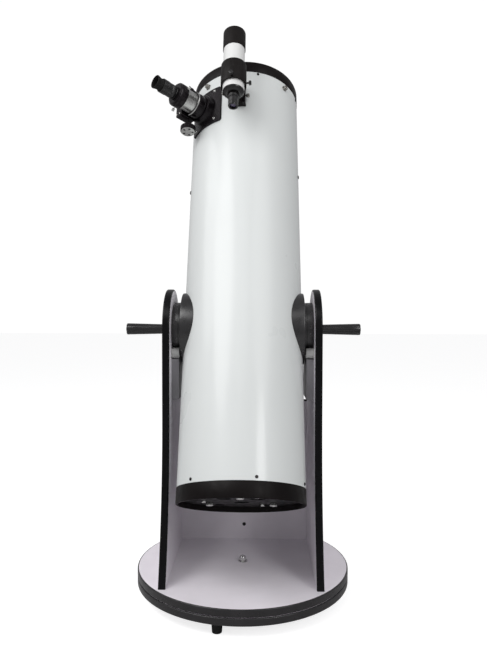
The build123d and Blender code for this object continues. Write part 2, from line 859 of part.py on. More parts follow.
# Finder: local X points out of the tube, local Y to the right.
finder_out = outward(finder_azimuth)
finder_side = outward(finder_azimuth + 90)


def across_finder(along, radius=finder_radius):
    """Plane square to the finder, on a line parallel to the tube's axis."""
    return Plane(origin=centre + tube_up * along + finder_out * radius, x_dir=finder_out, z_dir=tube_up)


shoe_low = 587
shoe_high = 650
shoe_start = 140  # inside the tube, where the shoe is cut away
shoe_width = 44
shoe_top = 167
shoe_floor = 157
shoe_screw_along = 612
shoe_screw_out = 162.5
tail_bottom = 15
tail_top = 11.5


def draw_dovetail(gap):
    """Section of the dovetail, from its floor to above the shoe, moved in by gap."""
    with BuildLine() as outline:
        slope = (tail_bottom - tail_top) / (shoe_top - shoe_floor)
        Polyline(
            (shoe_floor + gap, -tail_bottom + gap),
            (shoe_top, -tail_top + gap),
            (shoe_top + 3, -tail_top + gap + 3 * slope),
            (shoe_top + 3, tail_top - gap - 3 * slope),
            (shoe_top, tail_top - gap),
            (shoe_floor + gap, tail_bottom - gap),
            close=True,
        )
    make_face(outline.edges())


with BuildPart() as finder_shoe:
    with BuildSketch(across_finder(shoe_low, 0)):
        with Locations(((shoe_top + shoe_start) / 2, 0)):
            Rectangle(shoe_top - shoe_start, shoe_width)
    extrude(amount=shoe_high - shoe_low)
    with BuildSketch(across_finder(shoe_low, 0)):
        draw_dovetail(0)
    extrude(amount=shoe_high - shoe_low, mode=Mode.SUBTRACT)
    cut_tube_outside()
    shoe_screw_line = Plane(
        origin=across_finder(shoe_screw_along, shoe_screw_out).origin + finder_side * shoe_width / 2,
        x_dir=tube_up,
        z_dir=finder_side,
    )
    with BuildSketch(shoe_screw_line):
        Circle(2 + running)
    extrude(amount=-14, mode=Mode.SUBTRACT)
save(finder_shoe, "finder_shoe")

with BuildPart() as shoe_thumbscrew:
    with BuildSketch(shoe_screw_line.offset(-7)):
        Circle(2)
    extrude(amount=9)
    with BuildSketch(shoe_screw_line.offset(2)):
        Circle(5.5)
        with PolarLocations(6, 12):
            Circle(0.8, mode=Mode.SUBTRACT)
    extrude(amount=9)
save(shoe_thumbscrew, "shoe_thumbscrew")

bracket_low = 585
bracket_high = 650
bracket_inside = 31
bracket_outside = 33.5
adjuster_radius = 2.5
side_line = Plane(
    origin=across_finder(adjuster_along).origin + finder_side * (finder_tube_radius + 0.3),
    x_dir=tube_up,
    z_dir=finder_side,
)
outer_line = Plane(
    origin=across_finder(adjuster_along).origin + finder_out * (finder_tube_radius + 0.3),
    x_dir=tube_up,
    z_dir=finder_out,
)
plunger_direction = (finder_out * -1 + finder_side * -1).normalized()
with BuildPart() as finder_bracket:
    with BuildSketch(across_finder(shoe_low, 0)):
        draw_dovetail(running)
    extrude(amount=shoe_high - shoe_low)
    with BuildSketch(across_finder(shoe_low, 0)):
        stem_end = finder_radius - bracket_inside - 0.5
        with Locations(((shoe_top + stem_end) / 2, 0)):
            Rectangle(stem_end - shoe_top, 15)
    extrude(amount=shoe_high - shoe_low)
    with BuildSketch(across_finder(bracket_low)):
        Circle(bracket_outside)
        Circle(bracket_inside, mode=Mode.SUBTRACT)
    extrude(amount=bracket_high - bracket_low)
    plunger = Plane(
        origin=across_finder(adjuster_along).origin + plunger_direction * bracket_inside,
        x_dir=tube_up,
        z_dir=plunger_direction,
    )
    with BuildSketch(plunger):
        Circle(5)
    extrude(amount=14)
    with BuildSketch(across_finder(bracket_low)):
        Circle(bracket_inside)
    extrude(amount=bracket_high - bracket_low, mode=Mode.SUBTRACT)
    for line in (side_line, outer_line):
        with BuildSketch(line):
            Circle(adjuster_radius + running)
        extrude(amount=8, mode=Mode.SUBTRACT)
save(finder_bracket, "finder_bracket")

for line, name in ((side_line, "finder_side_adjuster"), (outer_line, "finder_outer_adjuster")):
    with BuildPart() as adjuster:
        with BuildSketch(line):
            Circle(adjuster_radius)
        extrude(amount=12)
        with BuildSketch(line.offset(11)):
            Circle(6)
            with PolarLocations(6.6, 10):
                Circle(1, mode=Mode.SUBTRACT)
        extrude(amount=7)
    save(adjuster, name)

with BuildPart() as finder_o_ring:
    with BuildSketch(across_finder(finder_pivot_along - 2)):
        Circle(bracket_inside - 0.2)
        Circle(finder_tube_radius + 0.2, mode=Mode.SUBTRACT)
    extrude(amount=4)
save(finder_o_ring, "finder_o_ring")

finder_rear = 568
finder_eyepiece_end = 520
finder_wall = 1.5
finder_front = 722
shield_low = 705
shield_high = 763
with BuildPart() as finder_tube:
    with BuildSketch(across_finder(finder_rear)):
        Circle(finder_tube_radius)
        Circle(finder_tube_radius - finder_wall, mode=Mode.SUBTRACT)
    extrude(amount=finder_front - finder_rear)
save(finder_tube, "finder_tube")

with BuildPart() as finder_dew_shield:
    with BuildSketch(across_finder(shield_low)):
        Circle(30)
        Circle(finder_tube_radius, mode=Mode.SUBTRACT)
    extrude(amount=shield_high - shield_low)
save(finder_dew_shield, "finder_dew_shield")

with BuildPart() as finder_objective:
    with BuildSketch(across_finder(finder_front - 10)):
        Circle(finder_tube_radius - finder_wall)
    extrude(amount=7)
save(finder_objective, "finder_objective")

with BuildPart() as finder_eyepiece:
    with BuildSketch(across_finder(finder_rear)):
        Circle(finder_tube_radius - 0.3)
    extrude(amount=-10, taper=42)
    with BuildSketch(across_finder(finder_eyepiece_end)):
        Circle(13)
    extrude(amount=finder_rear - finder_eyepiece_end)
    with BuildSketch(across_finder(finder_eyepiece_end + 26)):
        Circle(14.5)
    extrude(amount=8)
    with BuildSketch(across_finder(finder_eyepiece_end)):
        Circle(9)
    extrude(amount=6, mode=Mode.SUBTRACT)
save(finder_eyepiece, "finder_eyepiece")

# ---------------------------------------------------------------- tension handles
stud_start = 152
grip_start = 198
washer_gap = 0.3
grip_radius = 12.4
grip_taper = -degrees(atan2(2.4, handle_end - grip_start))

with BuildPart() as right_handle:
    with BuildSketch(Plane.YZ.offset(stud_start)):
        with Locations((0, altitude_height)):
            Circle(stud_radius)
    extrude(amount=grip_start - stud_start)
    with BuildSketch(Plane.YZ.offset(outer_face + washer_gap)):
        with Locations((0, altitude_height)):
            Circle(14)
    extrude(amount=grip_start - outer_face - washer_gap)
    with BuildSketch(Plane.YZ.offset(grip_start)):
        with Locations((0, altitude_height)):
            Circle(grip_radius)
            with PolarLocations(grip_radius + 1.6, 6, 30):
                Circle(3.4, mode=Mode.SUBTRACT)
    extrude(amount=handle_end - grip_start, taper=grip_taper)
save(right_handle, "right_handle")

with BuildPart() as left_handle:
    mirror(right_handle.part, about=Plane.YZ)
save(left_handle, "left_handle")
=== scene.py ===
"""A Newtonian reflector on a two-axis wooden rocker base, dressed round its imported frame.

Lengths are in millimetres until a mesh is made, in the frame's own axes: +Z up, +X to the
right, and the lower end of the tube towards -Y.
"""

import json
from math import atan2, cos, degrees, pi, radians, sin, sqrt, tau

import bmesh
import bpy
from mathutils import Matrix, Vector


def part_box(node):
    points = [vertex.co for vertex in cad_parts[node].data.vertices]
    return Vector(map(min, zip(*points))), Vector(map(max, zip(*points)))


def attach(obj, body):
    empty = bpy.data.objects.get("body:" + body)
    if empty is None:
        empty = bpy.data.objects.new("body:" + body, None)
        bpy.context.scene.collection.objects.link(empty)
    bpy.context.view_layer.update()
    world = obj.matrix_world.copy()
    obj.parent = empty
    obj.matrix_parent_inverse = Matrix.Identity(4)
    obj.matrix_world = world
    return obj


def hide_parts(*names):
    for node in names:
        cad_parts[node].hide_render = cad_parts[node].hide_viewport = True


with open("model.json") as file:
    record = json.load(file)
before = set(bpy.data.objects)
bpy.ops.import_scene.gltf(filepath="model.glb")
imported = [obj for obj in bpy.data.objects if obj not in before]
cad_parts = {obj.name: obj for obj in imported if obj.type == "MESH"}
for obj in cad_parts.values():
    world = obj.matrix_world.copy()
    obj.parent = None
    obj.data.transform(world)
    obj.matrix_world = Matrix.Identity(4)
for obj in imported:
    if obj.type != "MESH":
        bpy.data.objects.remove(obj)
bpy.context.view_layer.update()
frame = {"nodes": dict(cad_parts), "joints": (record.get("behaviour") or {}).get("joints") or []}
MM = 0.001
joints = {joint["name"]: joint for joint in frame["joints"]}


# ---------------------------------------------------------------- places
def joint_axis(name):
    """Direction of a joint's axis."""
    return Vector(joints[name]["axis"]).normalized()


def joint_point(name):
    """A point on a joint's axis."""
    return Vector(joints[name]["pos_m"]) / MM


def node_box(name):
    """Lowest and highest corner of a CAD node."""
    low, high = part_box(name)
    return low / MM, high / MM


def place(origin, x, z):
    """Matrix of a place whose local Z and X run along two given directions."""
    x, z = x.normalized(), z.normalized()
    matrix = Matrix((x, z.cross(x), z)).transposed().to_4x4()
    matrix.translation = origin
    return matrix


def shift(x=0, y=0, z=0):
    return Matrix.Translation((x, y, z))


def spin(angle):
    """Turn about local Z, in degrees."""
    return Matrix.Rotation(radians(angle), 4, "Z")


RIGHT = Vector((1, 0, 0))
UP = Vector((0, 0, 1))
FLAT = place(Vector(), RIGHT, UP)
OVER = Matrix.Rotation(pi, 4, "X")
CENTRE = joint_point("altitude")
TUBE_UP = joint_axis("coarse_focus_turn")
TUBE_FRONT = -TUBE_UP.cross(RIGHT)
FOCUS_OUT = joint_axis("focus_travel")
FINDER_OUT = joint_axis("finder_tilt_side")
FINDER_SIDE = joint_axis("finder_tilt_out")


def out_of_tube(azimuth):
    """Direction square out of the tube, at an angle from the tube's front."""
    angle = radians(azimuth)
    return RIGHT * sin(angle) + TUBE_FRONT * cos(angle)


def across_tube(along):
    return place(CENTRE + TUBE_UP * along, RIGHT, TUBE_UP)


def off_tube(along, azimuth, radius):
    """Place that faces out of the tube: local X runs up the tube, local Y to the left."""
    out = out_of_tube(azimuth)
    return place(CENTRE + TUBE_UP * along + out * radius, TUBE_UP, out)


FOCUS_ALONG = (joint_point("coarse_focus_turn") - CENTRE).dot(TUBE_UP)


def focuser(radius):
    return place(CENTRE + TUBE_UP * FOCUS_ALONG + FOCUS_OUT * radius, TUBE_UP, FOCUS_OUT)


FINDER_RADIUS = (joint_point("finder_tilt_out") - CENTRE).dot(FINDER_OUT)


def across_finder(along, radius=FINDER_RADIUS):
    """Place square to the finder: local X points out of the tube, local Y to the right."""
    return place(CENTRE + TUBE_UP * along + FINDER_OUT * radius, FINDER_OUT, TUBE_UP)


# ---------------------------------------------------------------- outlines in polar form
def hexagon(apothem, turn=0):
    def radius(angle):
        return apothem / cos((angle + turn) % (pi / 3) - pi / 6)

    return radius


def cross(length, half_width):
    """Outline of a cross recess."""

    def radius(angle):
        folded = abs((angle + pi / 4) % (pi / 2) - pi / 4)
        along = length / cos(folded)
        return along if along * sin(folded) < half_width else half_width / sin(folded)

    return radius


def fluted(radius, count, groove, centre_out):
    """Circle with round grooves cut into it."""

    def outline(angle):
        step = tau / count
        off = abs((angle + step / 2) % step - step / 2)
        far = radius + centre_out
        reach = far * sin(off)
        if reach >= groove:
            return radius
        return min(radius, far * cos(off) - sqrt(groove**2 - reach**2))

    return outline


def ribbed(radius, count, depth):
    """Circle with a fine knurl."""

    def outline(angle):
        return radius - depth * (0.5 - 0.5 * cos(angle * count)) ** 1.4

    return outline


# ---------------------------------------------------------------- meshes
class Shape:
    """Closed surfaces in millimetres, gathered into one piece. Each face has a finish number."""

    def __init__(self):
        self.points, self.faces, self.finishes = [], [], []

    def face(self, corners, finish):
        self.faces.append(corners)
        self.finishes.append(finish)

    def lathe(self, rings, where=FLAT, segments=64, closed=False, finish=0):
        """Turns rings of (radius or outline, height) about Z, with one finish or one per band."""
        loops = []
        for radius, height in rings:
            start = len(self.points)
            if not callable(radius) and radius == 0:
                self.points.append(where @ Vector((0, 0, height)))
                loops.append([start] * segments)
                continue
            for step in range(segments):
                angle = tau * step / segments
                reach = radius(angle) if callable(radius) else radius
                corner = Vector((reach * cos(angle), reach * sin(angle), height))
                self.points.append(where @ corner)
            loops.append(list(range(start, start + segments)))
        bands = list(zip(loops, loops[1:]))
        if closed:
            bands.append((loops[-1], loops[0]))
        for band, (low, high) in enumerate(bands):
            number = finish[band] if isinstance(finish, list) else finish
            for step in range(segments):
                after = (step + 1) % segments
                corners = [low[step], low[after], high[after], high[step]]
                corners = [c for k, c in enumerate(corners) if c not in corners[:k]]
                if len(corners) > 2:
                    self.face(corners, number)
        for loop in () if closed else (loops[0], loops[-1]):
            if len(set(loop)) > 1:
                self.face(loop, finish[0] if isinstance(finish, list) else finish)
        return self

    def prism(self, outline, low, high, where=FLAT, finish=0):
        """Extrudes an outline of local X and Y."""
        start, count = len(self.points), len(outline)
        for height in (low, high):
            self.points += [where @ Vector((x, y, height)) for x, y in outline]
        lower, upper = range(start, start + count), range(start + count, start + 2 * count)
        self.face(list(reversed(lower)), finish)
        self.face(list(upper), finish)
        for step in range(count):
            after = (step + 1) % count
            self.face([lower[step], lower[after], upper[after], upper[step]], finish)
        return self

    def sweep(self, path, radius, sides=10, finish=0):
        """A round wire along a list of points."""
        path = [Vector(point) for point in path]
        loops, side = [], None
        for step, point in enumerate(path):
            ahead = path[min(step + 1, len(path) - 1)] - path[max(step - 1, 0)]
            ahead.normalize()
            side = (side or ahead.orthogonal()) - ahead * ahead.dot(side or ahead.orthogonal())
            side.normalize()
            other = ahead.cross(side)
            start = len(self.points)
            for corner in range(sides):
                angle = tau * corner / sides
                self.points.append(point + (side * cos(angle) + other * sin(angle)) * radius)
            loops.append(list(range(start, start + sides)))
        for low, high in zip(loops, loops[1:]):
            for corner in range(sides):
                after = (corner + 1) % sides
                self.face([low[corner], low[after], high[after], high[corner]], finish)
        self.face(loops[0], finish)
        self.face(loops[-1], finish)
        return self

    def build(self, name, home=FLAT):
        """The shape as an object whose own axes are those of home."""
        back = home.inverted()
        mesh = bpy.data.meshes.new(name)
        mesh.from_pydata([(back @ point) * MM for point in self.points], [], self.faces)
        mesh.polygons.foreach_set("material_index", self.finishes)
        work = bmesh.new()
        work.from_mesh(mesh)
        bmesh.ops.recalc_face_normals(work, faces=work.faces)
        work.to_mesh(mesh)
        work.free()
        obj = bpy.data.objects.new(name, mesh)
        bpy.context.scene.collection.objects.link(obj)
        matrix = home.copy()
        matrix.translation = home.translation * MM
        obj.matrix_world = matrix
        return obj


def carve(obj, tool, operation="DIFFERENCE"):
    """Applies a boolean with a tool object, which goes."""
    modifier = obj.modifiers.new("carve", "BOOLEAN")
    modifier.operation, modifier.solver, modifier.object = operation, "EXACT", tool
    bpy.context.view_layer.update()
    evaluated = obj.evaluated_get(bpy.context.evaluated_depsgraph_get())
    result = bpy.data.meshes.new_from_object(evaluated)
    obj.modifiers.clear()
    obj.data = result
    bpy.data.objects.remove(tool)
    return obj


def rod(radius, low, high, where, segments):
    """A plain cylinder to cut with."""
    rings = [(0, low), (radius, low), (radius, high), (0, high)]
    return Shape().lathe(rings, where, segments).build("tool")


def soften(obj, width, angle=32, segments=2):
    """Rounds an object's edges by a width in millimetres."""
    bevel = obj.modifiers.new("round", "BEVEL")
    bevel.width, bevel.segments = width * MM, segments
    bevel.limit_method, bevel.angle_limit = "ANGLE", radians(angle)
    bevel.harden_normals = True
    bevel.miter_outer = "MITER_ARC"


def dress(obj, body, stands_for, finishes, rounded=0.0, angle=32):
    """Gives a piece its shading, its materials, its body and the CAD nodes it stands for."""
    obj.data.shade_smooth()
    if rounded:
        soften(obj, rounded, angle)
    else:
        obj.data.set_sharp_from_angle(angle=radians(angle))
    obj.data.materials.clear()
    for finish in finishes if isinstance(finishes, (list, tuple)) else [finishes]:
        obj.data.materials.append(finish)
    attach(obj, body)
    if stands_for:
        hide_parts(*([stands_for] if isinstance(stands_for, str) else stands_for))
    return obj


def keep(node, finish, rounded=0.0):
    """Keeps a CAD node, with a better material and, where asked, rounded edges."""
    obj = frame["nodes"][node]
    obj.data.materials.clear()
    obj.data.materials.append(finish)
    if rounded:
        weld = obj.modifiers.new("weld", "WELD")
        weld.merge_threshold = 0.002 * MM
        soften(obj, rounded, 40)


# ---------------------------------------------------------------- materials
def linear(red, green, blue):
    """Display values from 0 to 255 as the linear ones a shader takes."""
    values = [v / 255 for v in (red, green, blue)]
    return [v / 12.92 if v <= 0.04045 else ((v + 0.055) / 1.055) ** 2.4 for v in values]


class Finish:
    """A procedural material, built up from its base shader."""

    def __init__(
        self, name, colour, roughness, metal=0.0, coat=0.0, coat_roughness=0.05, ior=1.45
    ):
        self.material = bpy.data.materials.new(name)
        self.material.use_nodes = True
        self.nodes, self.links = self.material.node_tree.nodes, self.material.node_tree.links
        self.shader = self.nodes["Principled BSDF"]
        self.colour, self.roughness = linear(*colour), roughness
        self.set("Base Color", (*self.colour, 1))
        self.set("Roughness", roughness)
        self.set("Metallic", metal)
        self.set("Coat Weight", coat)
        self.set("Coat Roughness", coat_roughness)
        self.set("IOR", ior)
        self.where = self.nodes.new("ShaderNodeTexCoord").outputs["Object"]
        self.height = None

    def set(self, socket, value):
        self.shader.inputs[socket].default_value = value

    def math(self, operation, first, second):
        node = self.nodes.new("ShaderNodeMath")
        node.operation = operation
        for socket, value in zip(node.inputs, (first, second)):
            if isinstance(value, (int, float)):
                socket.default_value = value
            else:
                self.links.new(value, socket)
        return node.outputs[0]

    def noise(self, scale, detail=3.0, where=None, stretch=None, roughness=0.5):
        """Noise with a scale per metre, stretched along the local axes where asked."""
        vector = where or self.where
        if stretch:
            mapping = self.nodes.new("ShaderNodeMapping")
            mapping.inputs["Scale"].default_value = stretch
            self.links.new(vector, mapping.inputs["Vector"])
            vector = mapping.outputs[0]
        node = self.nodes.new("ShaderNodeTexNoise")
        node.inputs["Scale"].default_value = scale
        node.inputs["Detail"].default_value = detail
        node.inputs["Roughness"].default_value = roughness
        self.links.new(vector, node.inputs["Vector"])
        return node.outputs["Fac"]

    def turned(self):
        """Coordinates that change only along local Z and away from it, as lathe marks do."""
        split = self.nodes.new("ShaderNodeSeparateXYZ")
        self.links.new(self.where, split.inputs[0])
        x, y, z = split.outputs
        square = self.math("ADD", self.math("MULTIPLY", x, x), self.math("MULTIPLY", y, y))
        join = self.nodes.new("ShaderNodeCombineXYZ")
        self.links.new(self.math("SQRT", square, 0), join.inputs[0])
        self.links.new(z, join.inputs[1])
        return join.outputs[0]

    def span(self, value, low, high, start=0.3, end=0.7):
        """A value between start and end spread from low to high."""
        node = self.nodes.new("ShaderNodeMapRange")
        self.links.new(value, node.inputs["Value"])
        for socket, number in (("From Min", start), ("From Max", end), ("To Min", low),
            ("To Max", high)):
            node.inputs[socket].default_value = number
        return node.outputs[0]

    def tint(self, amount, pattern, other=None):
        """Varies the base colour by a pattern, in brightness or towards another colour."""
        node = self.nodes.new("ShaderNodeMix")
        node.data_type = "RGBA"
        darker = [v * (1 - amount) for v in self.colour]
        lighter = [min(1, v * (1 + amount)) for v in self.colour]
        node.inputs["A"].default_value = (*(self.colour if other else darker), 1)
        node.inputs["B"].default_value = (*(linear(*other) if other else lighter), 1)
        self.links.new(self.span(pattern, 0, amount if other else 1), node.inputs["Factor"])
        self.links.new(node.outputs["Result"], self.shader.inputs["Base Color"])
        return self

    def rub(self, amount, pattern):
        """Varies the roughness by a pattern."""
        spread = self.span(pattern, max(0.02, self.roughness - amount), self.roughness + amount)
        self.links.new(spread, self.shader.inputs["Roughness"])
        return self

    def relief(self, pattern, depth, strength=1.0):
        """Raises the surface by a pattern, to a depth in millimetres."""
        node = self.nodes.new("ShaderNodeBump")
        node.inputs["Distance"].default_value = depth * MM
        node.inputs["Strength"].default_value = strength
        self.links.new(pattern, node.inputs["Height"])
        if self.height:
            self.links.new(self.height, node.inputs["Normal"])
        self.height = node.outputs["Normal"]
        self.links.new(self.height, self.shader.inputs["Normal"])
        return self


def enamel(name, colour, peel=0.03):
    """Gloss paint with a faint orange peel."""
    made = Finish(name, colour, 0.3, coat=0.2, coat_roughness=0.12, ior=1.5)
    made.set("Specular IOR Level", 0.3)
    made.tint(0.012, made.noise(5, 2)).rub(0.03, made.noise(9, 3))
    return made.relief(made.noise(210, 1), peel, 0.5).material


def laminate(name, colour):
    """Melamine board, faintly pebbled and mottled."""
    made = Finish(name, colour, 0.42, ior=1.48)
    made.tint(0.03, made.noise(14, 4)).rub(0.06, made.noise(30, 3))
    return made.relief(made.noise(1500, 3), 0.05, 0.5).material


def satin_black(name, colour, roughness, grain, depth, coat=0.0, spread=0.1, shine=0.3):
    """Painted, moulded or powder-coated black with its own grain."""
    made = Finish(name, colour, roughness, coat=coat, coat_roughness=0.2)
    made.set("Specular IOR Level", shine)
    made.tint(0.25, made.noise(25, 4)).rub(spread, made.noise(60, 4))
    return made.relief(made.noise(grain, 3), depth, 0.7).material


def turned_metal(name, colour, roughness, metal=1.0, depth=0.02, lines=1800, spread=0.08):
    """Metal with the fine circular marks of a lathe, plain or under a dye."""
    made = Finish(name, colour, roughness, metal=metal)
    marks = made.noise(lines, 2, where=made.turned(), stretch=(1, 1, 0))
    made.tint(0.08, made.noise(lines / 6, 2, where=made.turned(), stretch=(1, 1, 0)))
    made.rub(spread, marks)
    return made.relief(marks, depth, 0.6).material


def plain_metal(name, colour, roughness):
    """Plated steel, faintly uneven."""
    made = Finish(name, colour, roughness, metal=1.0)
    made.tint(0.06, made.noise(90, 3)).rub(0.05, made.noise(250, 3))
    return made.relief(made.noise(900, 2), 0.01, 0.4).material


def lens(name, colour, coating):
    """Coated glass."""
    made = Finish(name, colour, 0.02, coat=0.6, coat_roughness=0.02, ior=1.52)
    made.set("Transmission Weight", 0.92)
    made.set("Coat Tint", (*linear(*coating), 1))
    made.rub(0.01, made.noise(40, 2))
    return made.material


WHITE_TUBE = enamel("tube_enamel", (219, 222, 221))
WHITE_FINDER = enamel("finder_enamel", (222, 222, 221), 0.02)
# White laminate, with a faint purple tint that is painted shade colour: the hue the boards take in
# shadow.
LAMINATE = laminate("white_laminate_shade_tinted", (236, 231, 237))
# The support blocks use the same laminate, painted darker grey with the purple shade tint: painted
# shade for the shadow they sit in.
SHADED_BLOCK_LAMINATE = laminate("support_block_board_painted_shade", (140, 138, 142))
EDGING = satin_black("black_edge_banding", (6, 6, 8), 0.27, 700, 0.02, spread=0.05, shine=0.22)
RING = satin_black("powder_coated_ring", (15, 11, 11), 0.42, 1100, 0.06, shine=0.13)
BASE_EDGING = satin_black("round_base_edging", (31, 29, 31), 0.3, 700, 0.02, spread=0.05,
    shine=0.6)
INSIDE = satin_black("matt_black_lining", (13, 13, 13), 0.85, 900, 0.06)
BEARING = satin_black("bearing_plastic", (17, 15, 17), 0.3, 1300, 0.02, spread=0.05, shine=1.0)
KNOB = satin_black("moulded_knob", (14, 13, 14), 0.27, 1500, 0.02, spread=0.05, shine=0.8)
RUBBER = satin_black("soft_rubber", (22, 21, 21), 0.7, 1600, 0.05)
FOOT_RUBBER = satin_black("foot_rubber", (24, 24, 24), 0.68, 1200, 0.06)
CELL_BLACK = satin_black("cell_paint", (17, 16, 17), 0.5, 1000, 0.05)
ANODISED = turned_metal("black_anodised", (30, 26, 29), 0.26, metal=0.5, lines=1500, depth=0.006)
REAR_CELL = satin_black("grey_rear_cell", (74, 74, 76), 0.4, 1500, 0.03)
SHIELD = satin_black("shield_black", (17, 13, 12), 0.55, 1500, 0.04, shine=0.2)
SILVER = turned_metal("brushed_silver", (196, 196, 194), 0.3, depth=0.015, lines=1400)
CHROME = plain_metal("chrome", (222, 222, 220), 0.13)
STEEL = plain_metal("bright_steel", (205, 204, 200), 0.2)
DARK_STEEL = plain_metal("blackened_steel", (52, 50, 50), 0.3)
SPIDER_STEEL = plain_metal("knurled_steel", (150, 148, 144), 0.28)
NYLON = satin_black("nylon", (176, 176, 174), 0.45, 800, 0.03)
GLIDE = satin_black("glide_plastic", (205, 204, 200), 0.5, 700, 0.02)
CAP = satin_black("screw_cap", (222, 220, 220), 0.4, 900, 0.02)


def mirror_finish():
    made = Finish("aluminised_glass", (232, 234, 236), 0.03, metal=1.0)
    made.tint(0.01, made.noise(20, 2)).rub(0.008, made.noise(60, 2))
    return made.material


MIRROR = mirror_finish()
LENS = lens("coated_lens", (205, 225, 220), (170, 120, 200))

# ---------------------------------------------------------------- ground body
TURNTABLE_TOP = node_box("turntable_board")[1].z
BASE_RADIUS = node_box("ground_board_edge")[1].x
BOARD = 18
FOOT_HEIGHT, FOOT_CIRCLE, FOOT_ANGLES = 30, 240, (257.5, 17.5, 137.5)


def foot_places():
    return [
        place(Vector((FOOT_CIRCLE * cos(radians(a)), FOOT_CIRCLE * sin(radians(a)), 0)), RIGHT, UP)
        for a in FOOT_ANGLES
    ]


keep("ground_board", LAMINATE)
keep("turntable_board", LAMINATE)
keep("glide_pads", GLIDE, 0.3)
keep("azimuth_bolt", STEEL)
keep("azimuth_bush", NYLON)

feet = Shape()
for where in foot_places():
    feet.lathe(
        [(5.2, 12), (5.2, 0.3), (5.6, 0), (9.6, 0), (10.9, 0.6), (11.5, 2), (11.75, 6),
         (11.5, 6.5), (11.55, 7.1), (11.85, 7.6), (13.1, 26.2), (13.4, 27.2), (13.5, FOOT_HEIGHT),
         (2.5, FOOT_HEIGHT), (2.5, 12)],
        where, 64, closed=True,
    )
dress(feet.build("rubber_feet_moulded"), "ground", "rubber_feet", FOOT_RUBBER)

screws = Shape()
for where in foot_places():
    turned_over = where @ shift(0, 0, 12) @ OVER
    screws.lathe(
        [(0, 1.6), (cross(1.9, 0.5), 1.6), (cross(2.4, 0.7), 3), (3.6, 2.8), (4.6, 1.8),
         (4.9, 0.3), (4.9, 0), (2.5, 0), (2.5, -31), (0, -32)],
        turned_over, 48,
    )
dress(screws.build("foot_screw_heads"), "ground", "foot_screws", STEEL)


def edge_profile(low, proud=0.0):
    """Section of a round board's edge banding: crowned, with a rounded lip at each face."""
    high, outer, inner = low + BOARD, BASE_RADIUS + proud, BASE_RADIUS - 3 + proud
    curve = [(outer - 2.4 + 2.4 * sin(a), low + 2.4 - 2.4 * cos(a)) for a in (0, 0.4, 0.8, 1.2,
        pi / 2)]
    upper = [(r, low + high - z) for r, z in reversed(curve)]
    return [(inner, low)] + curve + upper + [(inner, high)]


rim = Shape().lathe(edge_profile(FOOT_HEIGHT), FLAT, 288, closed=True)
dress(rim.build("ground_edge_banding"), "ground", "ground_board_edge", BASE_EDGING,
    angle=50)

nut = Shape()
nut_place = place(Vector((0, 0, TURNTABLE_TOP)), RIGHT, UP)
nut.lathe([(6, 0), (12.6, 0), (13, 0.4), (13, 1.5), (12.5, 2), (6, 2)], nut_place, 96, closed=True)


def hex_chamfer(apothem, limit):
    outline = hexagon(apothem)
    return lambda angle: min(outline(angle), limit)


nut.lathe(
    [(6, 2.02), (hex_chamfer(8.1, 8.6), 2.02), (hex_chamfer(8.1, 9.3), 2.7),
     (hex_chamfer(8.1, 9.3), 9.6), (hex_chamfer(8.1, 8.4), 10.6), (7.6, 11), (7.4, 12),
     (6.4, 13.6), (4.6, 14.9), (2.4, 15.4), (0, 15.5), (0, 14.8), (3.4, 14), (6, 11)],
    nut_place, 96, closed=True,
)
dress(nut.build("azimuth_cap_nut"), "ground", "azimuth_nut", CHROME, angle=40)

# ---------------------------------------------------------------- rocker body
for node in ("left_side_board", "right_side_board", "back_panel"):
    keep(node, LAMINATE)
keep("support_blocks", SHADED_BLOCK_LAMINATE, 0.5)
keep("rocker_edging", EDGING)
rim = Shape().lathe(edge_profile(TURNTABLE_TOP - BOARD, 0.1), FLAT, 288, closed=True)
dress(rim.build("turntable_edge_banding"), "rocker", (), BASE_EDGING, angle=50)

PEG_CIRCLE, PEG_RADIUS, INNER_HALF = 81, 12.7, node_box("back_panel")[1].x
pegs, peg_screws = Shape(), Shape()
for side in (-1, 1):
    for angle in (225, 315):
        middle = CENTRE + Vector((0, PEG_CIRCLE * cos(radians(angle)),
            PEG_CIRCLE * sin(radians(angle))))
        middle.x = side * INNER_HALF
        where = place(middle, UP, Vector((-side, 0, 0)))
        pegs.lathe(
            [(4.2, 13), (4.2, 19.2), (4.8, 20), (11.6, 20), (12.4, 19.6), (PEG_RADIUS, 18.8),
             (PEG_RADIUS, 1.2), (12.2, 0.4), (11.4, 0), (4.2, 0)],
            where, 72, closed=True,
        )
        peg_screws.lathe(
            [(0, 14), (cross(2.2, 0.6), 14), (cross(2.8, 0.8), 16), (3.9, 15.6), (4.1, 15),
             (4.1, 13.2), (4.1, 1), (0, 1)],
            where, 48,
        )
dress(pegs.build("bearing_peg_rollers"), "rocker", "bearing_pegs", NYLON, angle=40)
dress(peg_screws.build("bearing_peg_screws"), "rocker", "bearing_pegs", STEEL)

caps = Shape()
cap_places = [
    place(Vector((side * (INNER_HALF + BOARD), 166, TURNTABLE_TOP + height)), Vector((0, 1, 0)),
        Vector((side, 0, 0)))
    for side in (-1, 1)
    for height in (60, 200, 340)
]
for where in cap_places:
    caps.lathe([(0, 1), (2.2, 0.95), (3.8, 0.75), (4.8, 0.3), (5, 0), (3.2, -0.01), (3.2, -50),
        (0, -50)], where, 40)
dress(caps.build("panel_screw_caps"), "rocker", "panel_screws", CAP)
front_screw = Shape().lathe(
    [(0, 0.4), (cross(2.1, 0.55), 0.4), (cross(2.7, 0.8), 1.6), (3.6, 2), (4.6, 1.3), (5, 0.4),
     (5, 0), (3.2, -0.01), (3.2, -14), (0, -14)],
    place(Vector((0, 157, TURNTABLE_TOP + 43)), RIGHT, Vector((0, -1, 0))), 48,
)
dress(front_screw.build("panel_front_screw"), "rocker", "panel_screws", DARK_STEEL)

# ---------------------------------------------------------------- tube
TUBE_RADIUS, TUBE_INSIDE, TUBE_TOP, TUBE_BOTTOM = 151, 149.5, 743, -441
FOCUS_AZIMUTH = degrees(atan2(FOCUS_OUT.x, FOCUS_OUT.dot(TUBE_FRONT)))
TUBE_HOME = across_tube(0)

